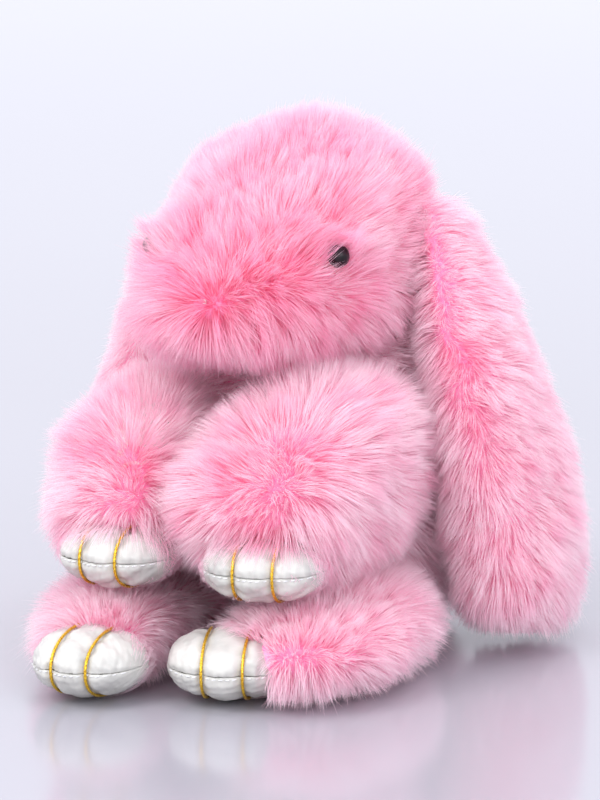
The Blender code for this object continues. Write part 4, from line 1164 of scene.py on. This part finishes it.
def lathe(profile, centre, steps=40):
    """A turned shape about an upright axis; profile is (radius, height)."""
    verts, faces = [], []
    for r_, z in profile:
        for k in range(steps):
            a = 2 * math.pi * k / steps
            verts.append(Vector((centre.x + max(r_, 0.02) * math.cos(a), centre.y + max(r_, 0.02) * math.sin(a), z)) * MM)
    for i in range(len(profile) - 1):
        for k in range(steps):
            j = (k + 1) % steps
            faces.append((i * steps + k, i * steps + j, (i + 1) * steps + j, (i + 1) * steps + k))
    faces.append(tuple(range(steps))[::-1])
    faces.append(tuple((len(profile) - 1) * steps + k for k in range(steps)))
    return verts, faces


def merged(name, parts, mat, sharp=35):
    verts, faces = [], []
    for v, f in parts:
        base = len(verts)
        verts += v
        faces += [tuple(base + k for k in face) for face in f]
    obj = mesh_object(name, verts, faces)
    bm = bmesh.new()
    bm.from_mesh(obj.data)
    bmesh.ops.recalc_face_normals(bm, faces=bm.faces)
    bm.to_mesh(obj.data)
    bm.free()
    obj.data.shade_smooth()
    obj.data.set_sharp_from_angle(angle=math.radians(sharp))
    obj.data.materials.append(mat)
    return obj


def finished(obj, body, slot, *replaced):
    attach(obj, body)
    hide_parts(*replaced)
    return obj


def disc(centre, axis, radius, depth, bevel=0.15, sides=36):
    """A short turned pin with eased edges along any axis."""
    n = Vector(axis).normalized()
    u = n.orthogonal().normalized()
    v = n.cross(u)
    rows = [(radius - bevel, -depth / 2), (radius, -depth / 2 + bevel), (radius, depth / 2 - bevel), (radius - bevel, depth / 2)]
    verts, faces = [], []
    for r_, h in rows:
        for k in range(sides):
            a = 2 * math.pi * k / sides
            verts.append((Vector(centre) + n * h + u * (r_ * math.cos(a)) + v * (r_ * math.sin(a))) * MM)
    for i in range(3):
        for k in range(sides):
            j = (k + 1) % sides
            faces.append((i * sides + k, i * sides + j, (i + 1) * sides + j, (i + 1) * sides + k))
    faces.append(tuple(range(sides))[::-1])
    faces.append(tuple(3 * sides + k for k in range(sides)))
    return verts, faces


# the split ring: two turns of flat wire lying on each other, with a step where they cross over
ring_c = Vector((0, 61.2, 46.45))
path = []
turns = 150
for i in range(turns + 1):
    f = i / turns
    a = math.radians(200 + 715 * f)
    blend_ = min(max((f - 0.44) / 0.12, 0), 1)
    off = -0.56 + 1.12 * (blend_ * blend_ * (3 - 2 * blend_))
    path.append(ring_c + X * (11.6 * math.cos(a)) + Z * (11.6 * math.sin(a)) + Y * off)


def flat_wire(i):
    row = []
    for k in range(14):
        a = 2 * math.pi * k / 14
        row.append((0.72 * math.copysign(abs(math.cos(a)) ** 0.6, math.cos(a)), 0.50 * math.copysign(abs(math.sin(a)) ** 0.6, math.sin(a))))
    return row


def oriented(path, section, side_axis):
    """Sweeps with the section's second axis held near side_axis."""
    verts, faces = [], []
    n = len(path)
    m = len(section(0))
    for i, p in enumerate(path):
        along = (path[min(i + 1, n - 1)] - path[max(i - 1, 0)]).normalized()
        v = (side_axis - along * side_axis.dot(along)).normalized()
        u = v.cross(along)
        for a, b in section(i):
            verts.append((p + u * a + v * b) * MM)
        if i:
            for k in range(m):
                j = (k + 1) % m
                faces.append(((i - 1) * m + k, (i - 1) * m + j, i * m + j, i * m + k))
    faces.append(tuple(range(m))[::-1])
    faces.append(tuple((n - 1) * m + k for k in range(m)))
    return verts, faces


finished(merged("split_ring_wire", [oriented(path, flat_wire, Y)], METAL, 50), "split_ring", "gold_metal", "split_ring")

# jump ring: round wire with its butt joint at the side
jump_c = Vector((0, 60.8, 91.45))
finished(merged("jump_ring_wire", [tube_rings(ring_path(jump_c, X, Z, 4.6, 72, 4, 352), round_section(0.55))], METAL, 60),
         "jump_ring", "gold_metal", "jump_ring")

# swivel: eye, post and head
eye_c = Vector((0, HY, 85.35))
post = [(0.0, 74.9), (1.3, 74.9), (1.5, 75.1), (1.5, 75.5), (1.3, 75.7), (0.95, 75.9), (0.95, 81.4), (1.3, 82.0), (0.9, 82.9), (0.0, 83.0)]
post = [(r_, z + 1.74) for r_, z in post]
finished(merged("swivel_eye_wire", [tube_rings(ring_path(eye_c, Y, Z, 3.0, 60, 0, 360), round_section(0.7)),
                                    lathe(post, Vector((0, HY, 0)))], METAL, 50), "swivel_eye", "gold_metal", "swivel_eye")

# lobster clasp: a turned barrel, the hook below it and two ears for the gate's pin
HOOK_TOP = 75.65
hook = [Vector((0, HY + dy, HOOK_TOP + dz)) for dy, dz in smooth_rows(
    [(0.0, 0.0), (-1.4, -2.6), (-4.2, -6.4), (-5.6, -11.0), (-5.2, -15.6), (-2.6, -19.4), (1.2, -20.2), (4.2, -18.0), (5.2, -14.6)], 60)]


def hook_section(i):
    f = i / 60
    thick = 1.5 * (1 - 0.10 * math.exp(-((f - 0.95) / 0.10) ** 2))
    return [(thick * math.cos(2 * math.pi * k / 18), thick * math.sin(2 * math.pi * k / 18)) for k in range(18)]


barrel = [(1.3, 80.85), (1.9, 80.85), (2.35, 80.65), (2.55, 80.2), (2.35, 79.9), (2.62, 79.6), (2.7, 78.85), (2.66, 77.0),
          (2.4, 76.7), (2.6, 76.35), (2.5, 75.4), (2.2, 74.65), (0.0, 74.60)]
pin_c = Vector((0, 63.2, 72.25))
ears = [disc(pin_c + X * (s * 2.0), X, 1.5, 0.8, 0.14) for s in (1, -1)]
webs = []
for s in (1, -1):
    lo = Vector((min(s * 1.6, s * 2.4), HY - 2.0, pin_c.z - 0.6))
    hi = Vector((max(s * 1.6, s * 2.4), pin_c.y, HOOK_TOP + 1.6))
    bm = bmesh.new()
    bmesh.ops.create_cube(bm, size=1.0)
    for v in bm.verts:
        v.co = Vector([lo[i] + (v.co[i] + 0.5) * (hi[i] - lo[i]) for i in range(3)])
    bmesh.ops.bevel(bm, geom=bm.edges[:], offset=0.2, segments=2, affect="EDGES", profile=0.6)
    bm.verts.index_update()
    webs.append(([v.co * MM for v in bm.verts], [tuple(v.index for v in f.verts) for f in bm.faces]))
    bm.free()
finished(merged("clasp_body_cast", [tube_rings(hook, hook_section), lathe(barrel, Vector((0, HY, 0)), 44), *ears, *webs], METAL, 40),
         "clasp", "gold_metal", "clasp_body")

# gate: knuckle, curved lever and a ribbed thumb stub
lever = [Vector((0, pin_c.y + dy, pin_c.z + dz)) for dy, dz, _ in smooth_rows(
    [(0.9, 0.6, 0.9), (2.6, 0.9, 1.1), (3.0, -3.0, 1.05), (2.95, -7.0, 1.0), (2.85, -10.3, 0.95)], 26)]


def lever_section(i):
    half = 1.3 - 0.15 * (i / 26)
    return [(0.85 * math.cos(2 * math.pi * k / 18), half * math.sin(2 * math.pi * k / 18)) for k in range(18)]


thumb = [disc(pin_c + Vector((0, 3.4 + 0.2, -3.0)), Y, 0.9, 2.0, 0.2), disc(pin_c + Vector((0, 4.2, -3.0)), Y, 1.0, 0.35, 0.1),
         disc(pin_c + Vector((0, 3.6, -3.0)), Y, 1.0, 0.35, 0.1)]
knuckle = disc(pin_c + X * -0.75, X, 1.4, 1.2, 0.12)
finished(merged("clasp_gate_lever", [oriented(lever, lever_section, X), knuckle, *thumb], METAL, 40),
         "clasp_gate", "gold_metal", "clasp_gate")
finished(merged("gate_pin_rivet", [disc(pin_c, X, 0.48, 5.2, 0.1), disc(pin_c + X * 2.62, X, 0.85, 0.3, 0.1),
                                   disc(pin_c - X * 2.62, X, 0.85, 0.3, 0.1)], METAL, 40), "clasp", "gold_metal", "gate_pin")
spring = [Vector((0.2 + 1.1 * i / 120, pin_c.y + 0.95 * math.cos(2 * math.pi * i / 40), pin_c.z + 0.95 * math.sin(2 * math.pi * i / 40)))
          for i in range(121)]
finished(merged("gate_spring_coil", [tube_rings(spring, round_section(0.14, 8))], STEEL, 60), "clasp", "spring_steel", "gate_spring")

# hanging loop: ribbed tape round the jump ring, doubled and sewn across where it enters the head
eye_z = 97.6
turn_path = ring_path(Vector((0, HY, eye_z)), Y, Z, 3.25, 60, 0, 360)


def tape_section(half_width, half_thick):
    def law(i):
        row = []
        ribs = 9
        for k in range(ribs * 2 + 1):
            f = -1 + 2 * k / (ribs * 2)
            row.append((half_thick * (1.0 if k % 2 else 0.80), half_width * f))
        for k in range(ribs * 2, -1, -1):
            f = -1 + 2 * k / (ribs * 2)
            row.append((-half_thick * (1.0 if k % 2 else 0.80), half_width * f))
        return row
    return law


stem_path = [Vector(p) for p in smooth_rows([(0, 59.2, 98.0), (0, 54.5, 99.9), (0, 46.0, 102), (0, 41.0, 102), (0, 36.9, 102)], 40)]
stitch = []
for k in range(5):
    for y in (50.2, 51.4):
        z = 100.95 + (50.8 - y) * 0.25
        stitch.append(disc(Vector((-1.4 + 0.7 * k, y, z + 0.9)), Vector((1, 0.2, 0)), 0.13, 0.55, 0.05, 8))
tape = merged("hanging_loop_tape", [oriented(turn_path, tape_section(2.0, 0.45), X), oriented(stem_path, tape_section(2.0, 0.85), X), *stitch],
              TAPE_MAT, 60)
finished(tape, "head", "tape", "hanging_loop")

# the design's own pieces that keep their shape: washers and the loop's anchor
for name, mat in (("left_eye_washer", PLASTIC), ("right_eye_washer", PLASTIC), ("loop_anchor", PLASTIC)):
    obj = nodes[name]
    if not obj.material_slots:
        obj.data.materials.append(mat)
    for slot_ in obj.material_slots:
        slot_.material = mat

# ---------------------------------------------------------------- studio
me = bpy.data.meshes.new("floor")
size, steps = 8.0, 8
fv = [(-size + 2 * size * i / steps, -size + 2 * size * j / steps, 0.0) for i in range(steps + 1) for j in range(steps + 1)]
ff = [(i * (steps + 1) + j, (i + 1) * (steps + 1) + j, (i + 1) * (steps + 1) + j + 1, i * (steps + 1) + j + 1)
      for i in range(steps) for j in range(steps)]
me.from_pydata(fv, [], ff)
floor = link(bpy.data.objects.new("floor", me))
mat, tree, shader = new_material("pale_floor", 0.14, 0.0, 0.5)
n = noise_node(tree, 3.0, 2, 0.5, position(tree))
at_ = tree.nodes.new("ShaderNodeSeparateXYZ")
tree.links.new(position(tree), at_.inputs["Vector"])
# the floor is painted lighter with distance towards the back: painted light, like a lit studio sweep
away = tree.nodes.new("ShaderNodeMapRange")
away.inputs["From Min"].default_value = -0.4
away.inputs["From Max"].default_value = 2.4
tree.links.new(at_.outputs["Y"], away.inputs["Value"])
blend = tree.nodes.new("ShaderNodeMath")
blend.operation = "MULTIPLY_ADD"
tree.links.new(n.outputs["Fac"], blend.inputs[0])
blend.inputs[1].default_value = 0.06
tree.links.new(away.outputs["Result"], blend.inputs[2])
r_ = ramp(tree, blend.outputs[0], [(0.05, lin(170, 168, 176)), (0.28, lin(165, 164, 171)), (0.9, lin(188, 189, 197))])
tree.links.new(r_.outputs["Color"], shader.inputs["Base Color"])
me.materials.append(mat)

world = bpy.data.worlds.new("studio")
scene.world = world
world.use_nodes = True
bg = world.node_tree.nodes["Background"]
bg.inputs["Color"].default_value = (0.90, 0.91, 1.0, 1.0)
bg.inputs["Strength"].default_value = 1.24


def area_light(name, at, size_, power, colour):
    data = bpy.data.lights.new(name, "AREA")
    data.shape = "SQUARE"
    data.size = size_
    data.energy = power
    data.color = colour
    lamp = link(bpy.data.objects.new(name, data))
    lamp.location = at
    lamp.rotation_euler = (Vector(at) - Vector((0, 0, 0.05))).to_track_quat("Z", "Y").to_euler()
    return lamp


area_light("key", (-0.7, -1.0, 1.35), 0.9, 14.0, (1.0, 0.985, 0.97))
area_light("fill", (1.3, -0.9, 0.8), 0.9, 8.0, (0.93, 0.96, 1.0))
area_light("front", (0.25, -1.7, 0.55), 1.1, 8.5, (1.0, 0.985, 0.99))
area_light("top", (0.1, 0.3, 1.5), 1.0, 5.5, (1.0, 1.0, 1.0))
